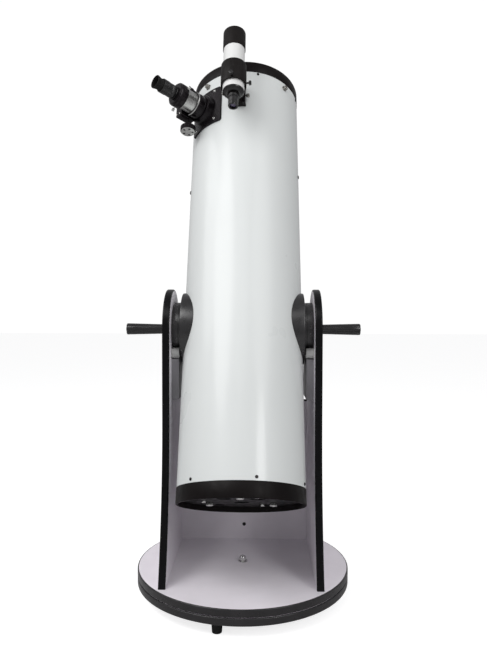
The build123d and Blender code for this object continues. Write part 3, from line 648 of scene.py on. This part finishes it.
skin = Shape()
steps = 24
low, high = TUBE_BOTTOM + 3, TUBE_TOP - 3
outer_wall = [(TUBE_RADIUS, low + (high - low) * k / steps) for k in range(steps + 1)]
inner_wall = [(TUBE_INSIDE, z) for _, z in reversed(outer_wall)]
skin.lathe(outer_wall + inner_wall, TUBE_HOME, 288, closed=True,
    finish=[0] * steps + [0] + [1] * steps + [0])
shell = skin.build("tube_skin", TUBE_HOME)
shell.data.materials.append(WHITE_TUBE)
shell.data.materials.append(INSIDE)
carve(shell, rod(30, 111, 171, focuser(0), 96))
dress(shell, "tube", "tube_shell", [WHITE_TUBE, INSIDE], angle=40)


def end_ring(end, inward, height, sleeve):
    """Cast end ring: a rolled lip, a shallow step above the skirt and a sleeve inside the tube."""
    outer, inner = 151.8, 146.5

    def at(distance):
        return end + inward * distance

    lip = [(outer - 1.4 + 1.4 * sin(a), at(1.4 - 1.4 * cos(a))) for a in (0, 0.35, 0.75, 1.15,
        pi / 2)]
    skirt = [(outer, at(height - 0.5)), (outer - 0.25, at(height)),
        (TUBE_RADIUS + 0.02, at(height))]
    inside = [(TUBE_RADIUS + 0.02, at(3)), (TUBE_INSIDE - 0.02, at(3)),
        (TUBE_INSIDE - 0.02, at(sleeve))]
    return lip + skirt + inside + [(inner, at(sleeve)), (inner, at(0.8)), (inner + 0.3, at(0.2)),
        (inner + 0.9, at(0))]


ring = Shape().lathe(end_ring(TUBE_TOP, -1, 35, 45), TUBE_HOME, 288, closed=True)
dress(ring.build("top_end_ring", TUBE_HOME), "tube", "top_ring", RING, angle=50)
ring = Shape().lathe(end_ring(TUBE_BOTTOM, 1, 37, 49), TUBE_HOME, 288, closed=True)
dress(ring.build("bottom_end_ring", TUBE_HOME), "tube", "bottom_ring", RING,
    angle=50)

ring_screws = Shape()
RING_SCREW = (
    [(0, 1.1), (cross(1.5, 0.45), 1.1), (cross(2, 0.6), 2.4), (2.6, 2.3), (3.2, 1.8), (3.6, 0.9),
     (3.6, 0.05), (2, 0.05), (2, -4.5), (0, -4.5)]
)
for along in (TUBE_TOP - 41, TUBE_BOTTOM + 45):
    for step in range(6):
        ring_screws.lathe(RING_SCREW, off_tube(along, 14 + 60 * step,
            TUBE_RADIUS) @ spin(25 * step), 48)
for azimuth, along in ((-80, 396), (80, 446)):
    ring_screws.lathe(
        [(0, 2.6), (2.4, 2.5), (4.2, 2), (5, 1), (5, 0.02), (2, 0.01), (2, -1.5), (0, -1.5)],
        off_tube(along, azimuth, TUBE_RADIUS), 40,
    )
dress(ring_screws.build("end_ring_screws"), "tube", "ring_screws", DARK_STEEL)

# The saddles are round blocks scooped out to fit the tube, each with a bearing disc on it.
SADDLE_FACE, SADDLE_RADIUS, DISC_RADIUS = 154, 92, 68
saddles = Shape()
for side in (-1, 1):
    where = place(CENTRE, Vector((0, 1, 0)), Vector((side, 0, 0)))
    edge = [(SADDLE_RADIUS - 3 + 3 * cos(a), SADDLE_FACE - 3 + 3 * sin(a)) for a in (0, 0.35, 0.7,
        1.1, pi / 2)]
    saddles.lathe([(6.05, 112), (SADDLE_RADIUS, 112)] + edge + [(6.05, SADDLE_FACE)], where, 180,
        closed=True)
saddle_piece = saddles.build("tube_saddles")
carve(saddle_piece, rod(TUBE_RADIUS + 0.03, -200, 200, TUBE_HOME, 288))
dress(saddle_piece, "tube", "bearing_saddles", BEARING, angle=40)

discs = Shape()
for side in (-1, 1):
    where = place(CENTRE, Vector((0, 1, 0)), Vector((side, 0, 0)))
    face = 176.5
    discs.lathe(
        [(6.05, SADDLE_FACE + 0.02), (DISC_RADIUS - 0.8, SADDLE_FACE + 0.02),
         (DISC_RADIUS, SADDLE_FACE + 0.8), (DISC_RADIUS, 158.5), (DISC_RADIUS - 1, 159),
         (DISC_RADIUS - 1, 160.4), (DISC_RADIUS, 160.9), (DISC_RADIUS, face - 1.6),
         (DISC_RADIUS - 0.5, face - 0.5), (DISC_RADIUS - 1.6, face), (24, face), (23, face - 0.9),
         (20, face - 0.9), (19, face), (6.05, face)],
        where, 180, closed=True,
    )
dress(discs.build("altitude_bearing_discs"), "tube", "bearing_discs", BEARING,
    angle=40)

# Spider: a turned hub on four thin vanes, held through the tube by knurled nuts.
SPIDER_LOW, SPIDER_HIGH, SPIDER_AZIMUTH, SPIDER_WALL = 680, 696, 47, 149.3
hub = Shape().lathe(
    [(0, SPIDER_LOW), (20, SPIDER_LOW), (21, SPIDER_LOW + 1), (21, 686), (20.4, 686.6),
     (20.4, 689.4), (21, 690), (21, SPIDER_HIGH - 1), (20, SPIDER_HIGH), (8, SPIDER_HIGH),
     (7, SPIDER_HIGH - 1), (0, SPIDER_HIGH - 1)],
    TUBE_HOME, 96,
)
for step in range(4):
    direction = TUBE_HOME @ spin(SPIDER_AZIMUTH - 90 + 90 * step)
    hub.prism([(20.5, -0.7), (SPIDER_WALL - 1, -0.7), (SPIDER_WALL - 1, 0.7), (20.5, 0.7)],
        SPIDER_LOW, SPIDER_HIGH, direction)
    foot = [(SPIDER_WALL - 5.5, -6), (SPIDER_WALL - 0.6, -6), (SPIDER_WALL - 0.6, 6),
        (SPIDER_WALL - 5.5, 6)]
    hub.prism(foot, SPIDER_LOW + 0.1, SPIDER_HIGH - 0.1, direction)
for step in range(3):
    hub.lathe(
        [(0, 696.8), (hexagon(1.4), 696.8), (hexagon(1.5), 698.8), (2.6, 699), (3, 698.6),
         (3, 695), (0, 695)],
        TUBE_HOME @ spin(120 * step) @ shift(14, 0, 0), 36,
    )
dress(hub.build("spider_hub_and_vanes", TUBE_HOME), "tube", "spider", ANODISED,
    rounded=0.25)

nuts = Shape()
for step in range(4):
    where = off_tube((SPIDER_LOW + SPIDER_HIGH) / 2 + 2, SPIDER_AZIMUTH + 90 * step, TUBE_RADIUS)
    nuts.lathe([(2.5, 0.02), (7.7, 0.02), (8, 0.3), (8, 1.2), (7.6, 1.5), (2.5, 1.5)], where, 64,
        closed=True)
    knurl = ribbed(6.5, 28, 0.35)
    nuts.lathe(
        [(0, 1.52), (5.6, 1.52), (6, 1.9), (knurl, 2.2), (knurl, 7.6), (6, 8), (5.4, 8.5),
         (3.2, 8.5), (2.9, 8), (0, 8)],
        where, 168,
    )
    nuts.lathe([(0, -6), (2.5, -6), (2.5, 1), (0, 1)], where, 24)
dress(nuts.build("spider_thumb_nuts"), "tube", "spider_bolts", SPIDER_STEEL,
    angle=30)

keep("secondary_holder", CELL_BLACK, 0.4)
keep("secondary_mirror", MIRROR)
keep("mirror_tray", CELL_BLACK, 0.4)
keep("mirror_clips", CELL_BLACK, 0.4)
keep("mirror_cell", CELL_BLACK, 0.5)

# Primary mirror: a shallow dish of the right focal length, with a chamfered rim.
MIRROR_RADIUS, MIRROR_BACK, MIRROR_EDGE, FOCAL_LENGTH = 127, -386, -356, 1250


def dish(radius):
    return MIRROR_EDGE - (MIRROR_RADIUS**2 - radius**2) / (4 * FOCAL_LENGTH)


primary = Shape().lathe(
    [(0, dish(0))] + [(r, dish(r)) for r in (20, 40, 60, 80, 100, 115, 125)]
    + [(126.2, dish(125)), (127, dish(125) - 1), (127, MIRROR_BACK + 1), (126, MIRROR_BACK),
        (0, MIRROR_BACK)],
    TUBE_HOME, 192,
)
dress(primary.build("primary_mirror_disc", TUBE_HOME), "tube", "primary_mirror",
    MIRROR, angle=25)

CELL_LOW, CELL_HIGH, TRAY_LOW = -428, -421, -394
springs = Shape()
for number in (1, 2, 3):
    knob_at = joint_point(f"collimation_knob_{number}_turn")
    across = knob_at - CENTRE
    across -= TUBE_UP * across.dot(TUBE_UP)
    start = CENTRE + across + TUBE_UP * CELL_HIGH
    where = place(start, RIGHT, TUBE_UP)
    rise = TRAY_LOW - CELL_HIGH
    turns, per_turn = 6, 20
    path = []
    for step in range(turns * per_turn + 1):
        share = step / (turns * per_turn)
        lift = 0.7 + (rise - 1.4) * share
        path.append(where @ Vector((6 * cos(tau * step / per_turn), 6 * sin(tau * step / per_turn),
            lift)))
    springs.sweep(path, 0.6, 8)
dress(springs.build("collimation_coil_springs"), "tube", "collimation_springs",
    STEEL)

for number in (1, 2, 3):
    across = joint_point(f"collimation_knob_{number}_turn") - CENTRE
    across -= TUBE_UP * across.dot(TUBE_UP)
    where = place(CENTRE + across + TUBE_UP * CELL_LOW, RIGHT, -TUBE_UP)
    grip = fluted(9, 8, 1.6, 0.6)
    small = fluted(8.2, 8, 1.2, 0.7)
    knob = Shape().lathe(
        [(3, 0.05), (7.6, 0.05), (small, 0.5), (grip, 1.4), (grip, 7.4), (small, 8.5), (7, 9),
         (4.4, 9), (4, 8.4), (0, 8.4)],
        where, 144,
    )
    knob.lathe([(0, -39.9), (2.6, -39.9), (3, -39.5), (3, 1), (0, 1)], where, 32)
    dress(knob.build(f"collimation_knob_{number}_fluted", where), f"collimation_knob_{number}",
          f"collimation_knob_{number}", CHROME, angle=30)

locks = Shape()
for angle in (55, 175, 295):
    where = TUBE_HOME @ spin(angle) @ shift(88, 0, CELL_LOW) @ OVER
    locks.lathe(
        [(0, 3.4), (hexagon(2), 3.4), (hexagon(2.1), 5.8), (4, 6), (4.7, 5.7), (5, 5), (5, 0.05),
         (2.5, 0.04), (2.5, -34), (0, -34)],
        where, 60,
    )
dress(locks.build("mirror_lock_screw_heads"), "tube", "mirror_lock_screws", CHROME)

# ---------------------------------------------------------------- focuser
PLATE_THICK, FLANGE_END, HOUSING_END, BLOCK_END, BORE = 5, 172, 199, 216, 28.05
SHAFT_OFFSET, SHAFT_HEIGHT = 34, 183


def rounded_box(half_x, half_y, corner, centre=(0, 0), steps=6):
    """Outline of a rectangle with round corners."""
    points = []
    for quarter, (sx, sy) in enumerate(((1, 1), (-1, 1), (-1, -1), (1, -1))):
        for step in range(steps + 1):
            angle = pi / 2 * (quarter + step / steps)
            points.append(
                (centre[0] + sx * (half_x - corner) + corner * cos(angle),
                 centre[1] + sy * (half_y - corner) + corner * sin(angle))
            )
    return points


plate = Shape().prism(rounded_box(57, 57, 6), 110, 180, focuser(0)).build("focuser_saddle_plate",
    focuser(0))
carve(plate, rod(156, 480, 740, TUBE_HOME, 240), "INTERSECT")
flange = Shape().lathe(
    [(0, 137), (42, 137), (41.5, 152.5), (40.6, 160), (39.4, 168), (38.4, 170.6),
     (37.2, FLANGE_END), (0, FLANGE_END)],
    focuser(0), 144,
)
carve(plate, flange.build("flange"), "UNION")
carve(plate, rod(BORE, 100, 200, focuser(0), 96))
carve(plate, rod(TUBE_RADIUS + 0.05, 400, 800, TUBE_HOME, 240))
dress(plate, "tube", "focuser_base", ANODISED, rounded=0.6)

SMALL_PAN = (
    [(0, 0.9), (cross(1.7, 0.5), 0.9), (cross(2.2, 0.7), 2.2), (2.9, 2.3), (3.6, 1.7), (4, 0.7),
     (4, 0.03), (2, 0.03), (2, -4.9), (0, -4.9)]
)
plate_screws = Shape()
corner_azimuth = degrees(46 / 151) * 0.82
for up in (-46, 46):
    for around in (-corner_azimuth, corner_azimuth):
        where = off_tube(FOCUS_ALONG + up, FOCUS_AZIMUTH + around, TUBE_RADIUS + PLATE_THICK)
        plate_screws.lathe(SMALL_PAN, where @ spin(up + around), 48)
dress(plate_screws.build("focuser_plate_screws"), "tube", "focuser_screws", CHROME)

body = Shape().lathe(
    [(0, FLANGE_END), (32, FLANGE_END), (33, FLANGE_END + 1), (33, 176), (32.2, 176.8),
     (32.2, 178.2), (33, 179), (33, HOUSING_END - 2.6), (31.4, HOUSING_END), (0, HOUSING_END)],
    focuser(0), 144,
).build("focuser_body", focuser(0))
block = Shape().prism(rounded_box(30, 12, 2.5, (0, SHAFT_OFFSET + 1)), FLANGE_END + 0.01,
    BLOCK_END, focuser(0))
carve(body, block.build("block"), "UNION")
carve(body, rod(BORE, 160, 230, focuser(0), 96))
shaft_home = place(focuser(0) @ Vector((0, SHAFT_OFFSET, SHAFT_HEIGHT)), FOCUS_OUT, TUBE_UP)
for radius, reach in ((3.06, 40), (6.3, 17.9)):
    carve(body, rod(radius, -reach, reach, shaft_home, 48))
lock_home = place(focuser(200) @ Vector((10, SHAFT_OFFSET + 13, 0)), TUBE_UP,
    -out_of_tube(FOCUS_AZIMUTH + 90))
carve(body, rod(2.06, -14, 1, lock_home, 32))
dress(body, "tube", "focuser_housing", ANODISED, rounded=0.5)

rim = Shape().lathe(
    [(31, HOUSING_END - 0.8), (32.5, HOUSING_END - 2.8), (32.98, HOUSING_END - 2.4),
     (31.75, HOUSING_END - 0.2), (31.2, HOUSING_END)],
    focuser(0), 96, closed=True,
)
dress(rim.build("focuser_mouth_chamfer", focuser(0)), "tube", "focuser_housing",
    SILVER, angle=25)

block_screws = Shape()
for x in (-24, 24):
    for y in (SHAFT_OFFSET - 4, SHAFT_OFFSET + 8):
        block_screws.lathe(
            [(0, -0.6), (hexagon(1.3), -0.6), (hexagon(1.4), 1.2), (2.3, 1.5), (2.7, 1), (2.7, -2),
             (0, -2)],
            focuser(BLOCK_END) @ shift(x, y, 0), 36,
        )
dress(block_screws.build("pinion_block_screws"), "tube", "focuser_housing", STEEL)

tube_end, draw_start = 232, 134
draw = Shape().lathe(
    [(25.45, draw_start), (27.6, draw_start), (28, draw_start + 0.5), (28, tube_end - 0.2),
     (27.8, tube_end - 0.05), (25.45, tube_end - 0.05)],
    focuser(0), 144, closed=True,
)
dress(draw.build("focuser_drawtube", focuser(0)), "drawtube", "drawtube",
    SILVER, angle=30)

COLLAR_END = 254
collar_grip = ribbed(32, 100, 0.4)
collar = Shape().lathe(
    [(25.45, tube_end), (30.6, tube_end), (31.6, 232.5), (32, 233.4), (32, 234.6), (31.3, 235),
     (31.3, 235.7), (32, 236.1), (32, 242), (31.3, 242.4), (31.3, 243.1), (32, 243.5), (32, 245),
     (31.3, 245.4), (collar_grip, 246.2), (collar_grip, 251), (31.3, 251.8), (31.6, 252.3),
     (31.4, 253.4), (30.6, COLLAR_END), (25.45, COLLAR_END)],
    focuser(0), 200, closed=True,
)
dress(collar.build("drawtube_clamp_collar", focuser(0)), "drawtube",
    "drawtube_collar", ANODISED, angle=30)

for number in (1, 2):
    direction = joint_axis(f"collar_screw_{number}_turn")
    where = place(focuser(239).translation + direction * 26, FOCUS_OUT, direction)
    knurl, taper = ribbed(4, 24, 0.35), ribbed(3.5, 24, 0.25)
    thumb = Shape().lathe(
        [(0, 0), (1.3, 0.02), (1.6, 0.4), (1.6, 8.6), (2.5, 8.8), (2.7, 9.4), (taper, 9.6),
         (knurl, 10.2), (knurl, 16.6), (taper, 17.3), (2.8, 17.5), (0, 17.5)],
        where, 144,
    )
    dress(thumb.build(f"collar_thumbscrew_{number}_knurled", where), f"collar_screw_{number}",
          f"collar_thumbscrew_{number}", CHROME, angle=28)

BARREL = 15.925
adapter = Shape().lathe(
    [(BARREL, 222), (24.9, 222), (25.4, 222.5), (25.4, COLLAR_END + 0.02),
     (28.6, COLLAR_END + 0.02), (29, 254.4), (28.8, 254.9), (28.1, 256.4), (27.4, 257),
     (BARREL, 257)],
    focuser(0), 144, closed=True,
)
dress(adapter.build("eyepiece_adapter_ring", focuser(0)), "adapter",
    "eyepiece_adapter", ANODISED, angle=28)

grip = ribbed(18, 54, 0.45)
ocular = Shape().lathe(
    [(0, 229), (15.2, 229), (15.2, 228.4), (15.875, 228), (15.875, 241), (15.2, 241.6),
     (15.2, 246), (15.875, 246.6), (15.875, 257.02), (17.4, 257.02), (18, 257.6), (18, 260.6),
     (17.4, 261), (17.4, 261.6), (grip, 262.2), (grip, 274), (17.4, 274.6), (17.4, 275.3),
     (18, 275.8), (18, 283.9), (18.3, 284), (18.8, 284.5), (18.8, 288), (18.2, 288.4),
     (18.2, 289.1), (18.8, 289.5), (18.8, 296.6), (18.2, 297), (18.2, 297.7), (18.8, 298.1),
     (18.8, 301.3), (18.3, 301.9), (14, 302), (14, 307.6), (13.2, 308), (9.5, 305.4), (9, 304.6),
     (0, 304.6)],
    focuser(0), 216,
)
dress(ocular.build("eyepiece_barrel_and_body", focuser(0)), "eyepiece",
    "eyepiece_body", KNOB, angle=30)
eye_lens = Shape().lathe(
    [(0, 304.62), (8.9, 304.62), (8.9, 305.4), (7, 306.1), (4, 306.7), (0, 306.9)], focuser(0), 72
)
dress(eye_lens.build("eyepiece_eye_lens", focuser(0)), "eyepiece", "eyepiece_body",
    LENS, angle=40)
cup = Shape().lathe(
    [(14.05, 302.05), (16.6, 302.05), (17, 302.8), (16.8, 304.4), (15.8, 306.4), (15.6, 308.6),
     (16, 311.4), (16.9, 315), (17.9, 318.2), (18.2, 319.6), (18.1, 321), (17.4, 321.9),
     (16.6, 321.8), (15.9, 320.8), (15, 316), (14.3, 310)],
    focuser(0), 120, closed=True,
)
dress(cup.build("eyepiece_rubber_cup", focuser(0)), "eyepiece", "eyepiece_cup",
    RUBBER, angle=60)

# Coarse knobs on one shaft, with a fine knob on the upper one. Local Z runs up the tube.
KNOB_NEAR, KNOB_FAR, WHEEL = 49, 67, 21
knobs = Shape()
knobs.lathe([(0, -65), (3, -65), (3, -17), (5.7, -17), (5.7, 17), (3, 17), (3, 65), (0, 65)],
    shaft_home, 64)
dress(knobs.build("focus_shaft", shaft_home), "coarse_focus", "focus_knobs",
    CHROME)
rim_wave, shoulder = ribbed(WHEEL, 72, 0.55), ribbed(WHEEL - 0.7, 72, 0.4)
wheels = Shape()
for sign in (-1, 1):
    flip = shaft_home if sign > 0 else shaft_home @ OVER
    bottom = KNOB_FAR - 0.6
    wheels.lathe(
        [(3.02, KNOB_NEAR), (12, KNOB_NEAR), (13, KNOB_NEAR + 0.6), (18.8, KNOB_NEAR + 1.6),
         (shoulder, KNOB_NEAR + 2.2), (rim_wave, KNOB_NEAR + 3), (rim_wave, KNOB_FAR - 3),
         (shoulder, KNOB_FAR - 2.3), (19, KNOB_FAR - 1.7), (18.9, KNOB_FAR - 1.2),
         (3.02, KNOB_FAR - 1.2)],
        flip, 432, closed=True,
    )
dress(wheels.build("coarse_focus_wheels", shaft_home), "coarse_focus",
    "focus_knobs", ANODISED, angle=28)
for sign, name in ((-1, "lower"), (1, "upper")):
    flip = shaft_home if sign > 0 else shaft_home @ OVER
    low, high = KNOB_FAR - 1.18, KNOB_FAR
    face = Shape().lathe(
        [(0, low), (18.6, low), (18.8, low + 0.3), (18.8, high - 0.3), (18.4, high), (4.6, high),
         (4.2, high - 0.4), (0, high - 0.4)],
        flip, 144,
    ).build(f"focus_knob_face_{name}", flip)
    if sign < 0:
        for step in range(5):
            spot = flip @ spin(-72 * step) @ shift(12.5, 0, 0)
            carve(face, rod(3.2, low - 1, high + 1, spot, 40))
        dress(face, "coarse_focus", "focus_knobs", SILVER, rounded=0.15,
            angle=40)
    else:
        carve(face, rod(2.06, low - 1, high + 1, flip, 24))
        dress(face, "coarse_focus", "focus_knobs", ANODISED, angle=30)

fine_grip = ribbed(12, 40, 0.5)
fine = Shape().lathe(
    [(0, KNOB_FAR - 9), (2, KNOB_FAR - 9), (2, KNOB_FAR + 1), (9.5, KNOB_FAR + 1),
     (10.8, KNOB_FAR + 1.6), (fine_grip, KNOB_FAR + 2.4), (fine_grip, KNOB_FAR + 10.6),
     (11, KNOB_FAR + 11.8), (9.6, KNOB_FAR + 12.6), (7.4, KNOB_FAR + 13), (6.8, KNOB_FAR + 12.4),
     (0, KNOB_FAR + 12.4)],
    shaft_home, 240,
)
dress(fine.build("fine_focus_knob_knurled", shaft_home), "fine_focus",
    "fine_focus_knob", ANODISED, angle=28)

lock_grip = ribbed(5, 26, 0.4)
lock = Shape().lathe(
    [(0, -8), (1.7, -8), (2, -7.6), (2, 3), (3.4, 3.02), (4.2, 3.4), (lock_grip, 4),
     (lock_grip, 9.8), (4.4, 10.6), (3.6, 11), (0, 11)],
    lock_home, 156,
)
dress(lock.build("focus_lock_screw_knurled", lock_home), "focus_lock",
    "focus_lock_screw", CHROME, angle=28)

# ---------------------------------------------------------------- finder
keep("finder_shoe", ANODISED, 0.5)
keep("finder_bracket", SHIELD, 0.35)
keep("finder_o_ring", RUBBER)
FINDER_HOME = across_finder(0)

sleeve = Shape().lathe(
    [(28.3, 568), (28.3, 570), (28.3, 721.7), (28, 722), (26.82, 722), (26.82, 720), (26.82, 569),
     (26.82, 568)],
    FINDER_HOME, 144, closed=True, finish=[0, 0, 0, 0, 1, 1, 1, 0],
)
dress(sleeve.build("finder_main_tube", FINDER_HOME), "finder", "finder_tube",
    [WHITE_FINDER, INSIDE], angle=40)
shield = Shape().lathe(
    [(28.32, 705), (29.4, 705), (30, 705.6), (30, 709), (29.7, 709.3), (29.7, 710), (30, 710.3),
     (30, 761.6), (29.7, 762.6), (29.2, 763), (28.9, 763), (28.5, 762.4), (28.32, 761)],
    FINDER_HOME, 144, closed=True,
)
dress(shield.build("finder_dew_shield_tube", FINDER_HOME), "finder",
    "finder_dew_shield", SHIELD, angle=40)
front = Shape().lathe(
    [(0, 712), (25.2, 712), (25.2, 718), (24, 718.4), (16, 719.6), (8, 720.3), (0, 720.5)],
    FINDER_HOME, 96
)
dress(front.build("finder_objective_lens", FINDER_HOME), "finder",
    "finder_objective", LENS, angle=25)
retainer = Shape().lathe(
    [(25.22, 711.5), (26.8, 711.5), (26.8, 721.6), (24.6, 721.6), (24, 721), (24, 718.7),
     (25.22, 718.2)],
    FINDER_HOME, 96, closed=True,
)
dress(retainer.build("finder_lens_retainer", FINDER_HOME), "finder",
    "finder_objective", KNOB, angle=25)

rear = Shape().lathe(
    [(0, 578), (26.7, 578), (26.7, 568), (27.9, 567.9), (28, 567.2), (27.4, 565.6), (24, 561.6),
     (20.5, 558.8), (19.4, 558), (13.4, 557.8), (13, 557.2), (13, 554.2), (14.1, 554),
     (14.5, 553.6), (14.5, 546.4), (14.1, 546), (13, 545.8), (13, 531), (12.5, 530.6),
     (12.5, 529.4), (13, 529), (13, 521.4), (12.4, 520.3), (11.4, 520), (9.6, 520), (9, 520.6),
     (8.6, 525.9), (0, 525.9)],
    FINDER_HOME, 144, finish=[0, 0] + [1] * 7 + [0] * 18,
)
dress(rear.build("finder_rear_cell_and_eyepiece", FINDER_HOME), "finder",
    "finder_eyepiece", [KNOB, REAR_CELL], angle=28)
bead = Shape().lathe(
    [(13.05, 555.6), (15.4, 555.6), (15.9, 556.1), (15.9, 557.1), (15.4, 557.6), (13.05, 557.6)],
    FINDER_HOME, 96, closed=True,
)
dress(bead.build("finder_eyepiece_lock_ring", FINDER_HOME), "finder",
    "finder_eyepiece", DARK_STEEL, angle=25)
eye = Shape().lathe([(0, 525.85), (8.5, 525.85), (8.4, 525), (5.5, 523.9), (2.5, 523.4),
    (0, 523.3)], FINDER_HOME, 60)
dress(eye.build("finder_eye_lens", FINDER_HOME), "finder", "finder_eyepiece", LENS,
    angle=40)

ADJUSTER_ALONG = 592
plunger_axis = -(FINDER_OUT + FINDER_SIDE).normalized()
plunger_home = place(across_finder(ADJUSTER_ALONG).translation + plunger_axis * 45, TUBE_UP,
    plunger_axis)
cap = Shape().lathe([(0, 0.02), (4.4, 0.02), (4.7, 0.5), (4.7, 1.6), (4.2, 2.2), (1.6, 2.2),
    (1.2, 1.6), (0, 1.6)], plunger_home, 48)
dress(cap.build("finder_plunger_cap", plunger_home), "finder_mount", (), STEEL,
    angle=25)

for axis, body_name, node in (
    (FINDER_SIDE, "finder_side_screw", "finder_side_adjuster"),
    (FINDER_OUT, "finder_outer_screw", "finder_outer_adjuster"),
):
    where = place(across_finder(ADJUSTER_ALONG).translation + axis * 28.6, TUBE_UP, axis)
    knurl, small = ribbed(6, 32, 0.45), ribbed(5.4, 32, 0.3)
    screw = Shape().lathe(
        [(0, 0), (1.9, 0), (2.5, 0.6), (2.5, 10.9), (3.4, 11), (4.2, 11.4), (small, 12),
         (knurl, 12.8), (knurl, 16.6), (small, 17.5), (4.4, 18), (0, 18)],
        where, 192,
    )
    dress(screw.build(f"{node}_knurled", where), body_name, node, KNOB, angle=28)

shoe_home = place(joint_point("shoe_screw_turn"), TUBE_UP, FINDER_SIDE)
knurl, small = ribbed(5.5, 30, 0.45), ribbed(4.9, 30, 0.3)
shoe_screw = Shape().lathe(
    [(0, -7), (1.6, -7), (2, -6.6), (2, 2), (3.6, 2.02), (4, 2.6), (small, 3), (knurl, 3.8),
     (knurl, 9.6), (small, 10.5), (3.8, 11), (0, 11)],
    shoe_home, 180,
)
dress(shoe_screw.build("shoe_thumbscrew_knurled", shoe_home), "shoe_screw",
    "shoe_thumbscrew", SPIDER_STEEL, angle=28)

# ---------------------------------------------------------------- tension handles
GRIP_START, GRIP_END, STUD_START = 198, 300, 152


def grip_ring(x, shrink=0.0):
    """Ring of the fluted grip at a distance from the middle."""
    radius = 12.4 + 2.4 * (x - GRIP_START) / (GRIP_END - GRIP_START) - shrink
    outline = fluted(radius, 6, 3.4, 1.6)
    return (lambda angle: outline(angle + pi / 6)), x


for side, body_name in ((-1, "left_handle"), (1, "right_handle")):
    where = place(Vector((0, 0, CENTRE.z)), Vector((0, 1, 0)), Vector((side, 0, 0)))
    stud = Shape().lathe(
        [(0, STUD_START), (5.4, STUD_START), (6, STUD_START + 0.6), (6, 195.32), (13.4, 195.32),
         (14, 195.8), (14, 197.4), (13.5, 197.98), (0, 197.98)],
        where, 96,
    )
    dress(stud.build(f"{body_name}_stud_and_washer", where), body_name, body_name,
        DARK_STEEL, angle=30)
    grip = Shape().lathe(
        [(0, 198), (10.4, 198), grip_ring(198.6, 1.2), grip_ring(200), grip_ring(225),
         grip_ring(250)]
        + [grip_ring(275), grip_ring(297.4), grip_ring(299.2, 0.7), grip_ring(299.9, 1.8),
            (10, 300), (0, 300)],
        where, 240,
    )
    dress(grip.build(f"{body_name}_grip", where), body_name, body_name, KNOB,
        angle=40)

# ---------------------------------------------------------------- floor, light and camera
def plane(name, corners, finish):
    mesh = bpy.data.meshes.new(name)
    mesh.from_pydata(corners, [], [list(range(len(corners)))])
    obj = bpy.data.objects.new(name, mesh)
    bpy.context.scene.collection.objects.link(obj)
    obj.data.materials.append(finish)
    return obj


floor_finish = Finish("pale_floor", (190, 190, 190), 0.95)
floor_finish.tint(0.004, floor_finish.noise(2, 2))
floor_finish.set("Emission Color", (1, 1, 1, 1))
seen = floor_finish.nodes.new("ShaderNodeLightPath").outputs["Is Camera Ray"]
floor_finish.links.new(floor_finish.math("MULTIPLY", seen, 0.75),
    floor_finish.shader.inputs["Emission Strength"])
plane("floor", [(-12, -9, 0), (12, -9, 0), (12, 15, 0), (-12, 15, 0)], floor_finish.material)

# The backdrop is white to the camera, and a dimmer studio lights the object.
ROOM_LIGHT, BACKDROP_LIGHT = 0.38, 1.02
world = bpy.data.worlds.new("studio")
bpy.context.scene.world = world
world.use_nodes = True
sky_nodes, sky_links = world.node_tree.nodes, world.node_tree.links
room = sky_nodes["Background"]
room.inputs["Color"].default_value = (1, 1, 1.02, 1)
room.inputs["Strength"].default_value = ROOM_LIGHT
backdrop = sky_nodes.new("ShaderNodeBackground")
backdrop.inputs["Color"].default_value = (1, 1, 1, 1)
backdrop.inputs["Strength"].default_value = BACKDROP_LIGHT
choose = sky_nodes.new("ShaderNodeMixShader")
sky_links.new(sky_nodes.new("ShaderNodeLightPath").outputs["Is Camera Ray"], choose.inputs[0])
sky_links.new(room.outputs[0], choose.inputs[1])
sky_links.new(backdrop.outputs[0], choose.inputs[2])
sky_links.new(choose.outputs[0], sky_nodes["World Output"].inputs[0])
bpy.context.scene.view_settings.view_transform = "Standard"
bpy.context.scene.view_settings.look = "None"


def softbox(name, azimuth, elevation, distance, size, power, aim=(0, 0, 0.8)):
    """A round soft light: azimuth 0 is the camera's side, positive to the right."""
    light = bpy.data.lights.new(name, "AREA")
    light.shape, light.size, light.energy = "DISK", size, power
    obj = bpy.data.objects.new(name, light)
    bpy.context.scene.collection.objects.link(obj)
    flat, across = radians(elevation), radians(azimuth)
    direction = Vector((sin(across) * cos(flat), -cos(across) * cos(flat), sin(flat)))
    obj.location = Vector(aim) + direction * distance
    obj.rotation_euler = (-direction).to_track_quat("-Z", "Y").to_euler()
    return obj


softbox("key", -48, 42, 3.2, 2.0, 50).data.diffuse_factor = 0.85
softbox("overhead", -5, 46, 3.2, 1.5, 7).data.diffuse_factor = 0.02
softbox("fill", 48, 42, 3.2, 2.0, 17)
softbox("side", -84, 35, 3.2, 1.6, 17).data.specular_factor = 0.4
softbox("low_front", 38, 20, 3.2, 0.9, 17).data.specular_factor = 0

camera_data = bpy.data.cameras.new("camera")
camera = bpy.data.objects.new("camera", camera_data)
bpy.context.scene.collection.objects.link(camera)
bpy.context.scene.camera = camera
SENSOR_WIDTH, FOCAL_LENGTH_OF_CAMERA = 36, 35.455
CAMERA_AT, YAW, PITCH, ROLL = Vector((0.039474, -1.648026, 0.733361)), 0.0234, -0.0307, 0.0018
ahead = Vector((-sin(YAW) * cos(PITCH), cos(YAW) * cos(PITCH), sin(PITCH)))
level = Vector((cos(YAW), sin(YAW), 0))
above = level.cross(ahead)
right = level * cos(ROLL) + above * sin(ROLL)
top = above * cos(ROLL) - level * sin(ROLL)
matrix = Matrix((right, top, -ahead)).transposed().to_4x4()
matrix.translation = CAMERA_AT
camera.matrix_world = matrix
camera_data.sensor_width, camera_data.lens = SENSOR_WIDTH, FOCAL_LENGTH_OF_CAMERA
camera_data.clip_end = 100
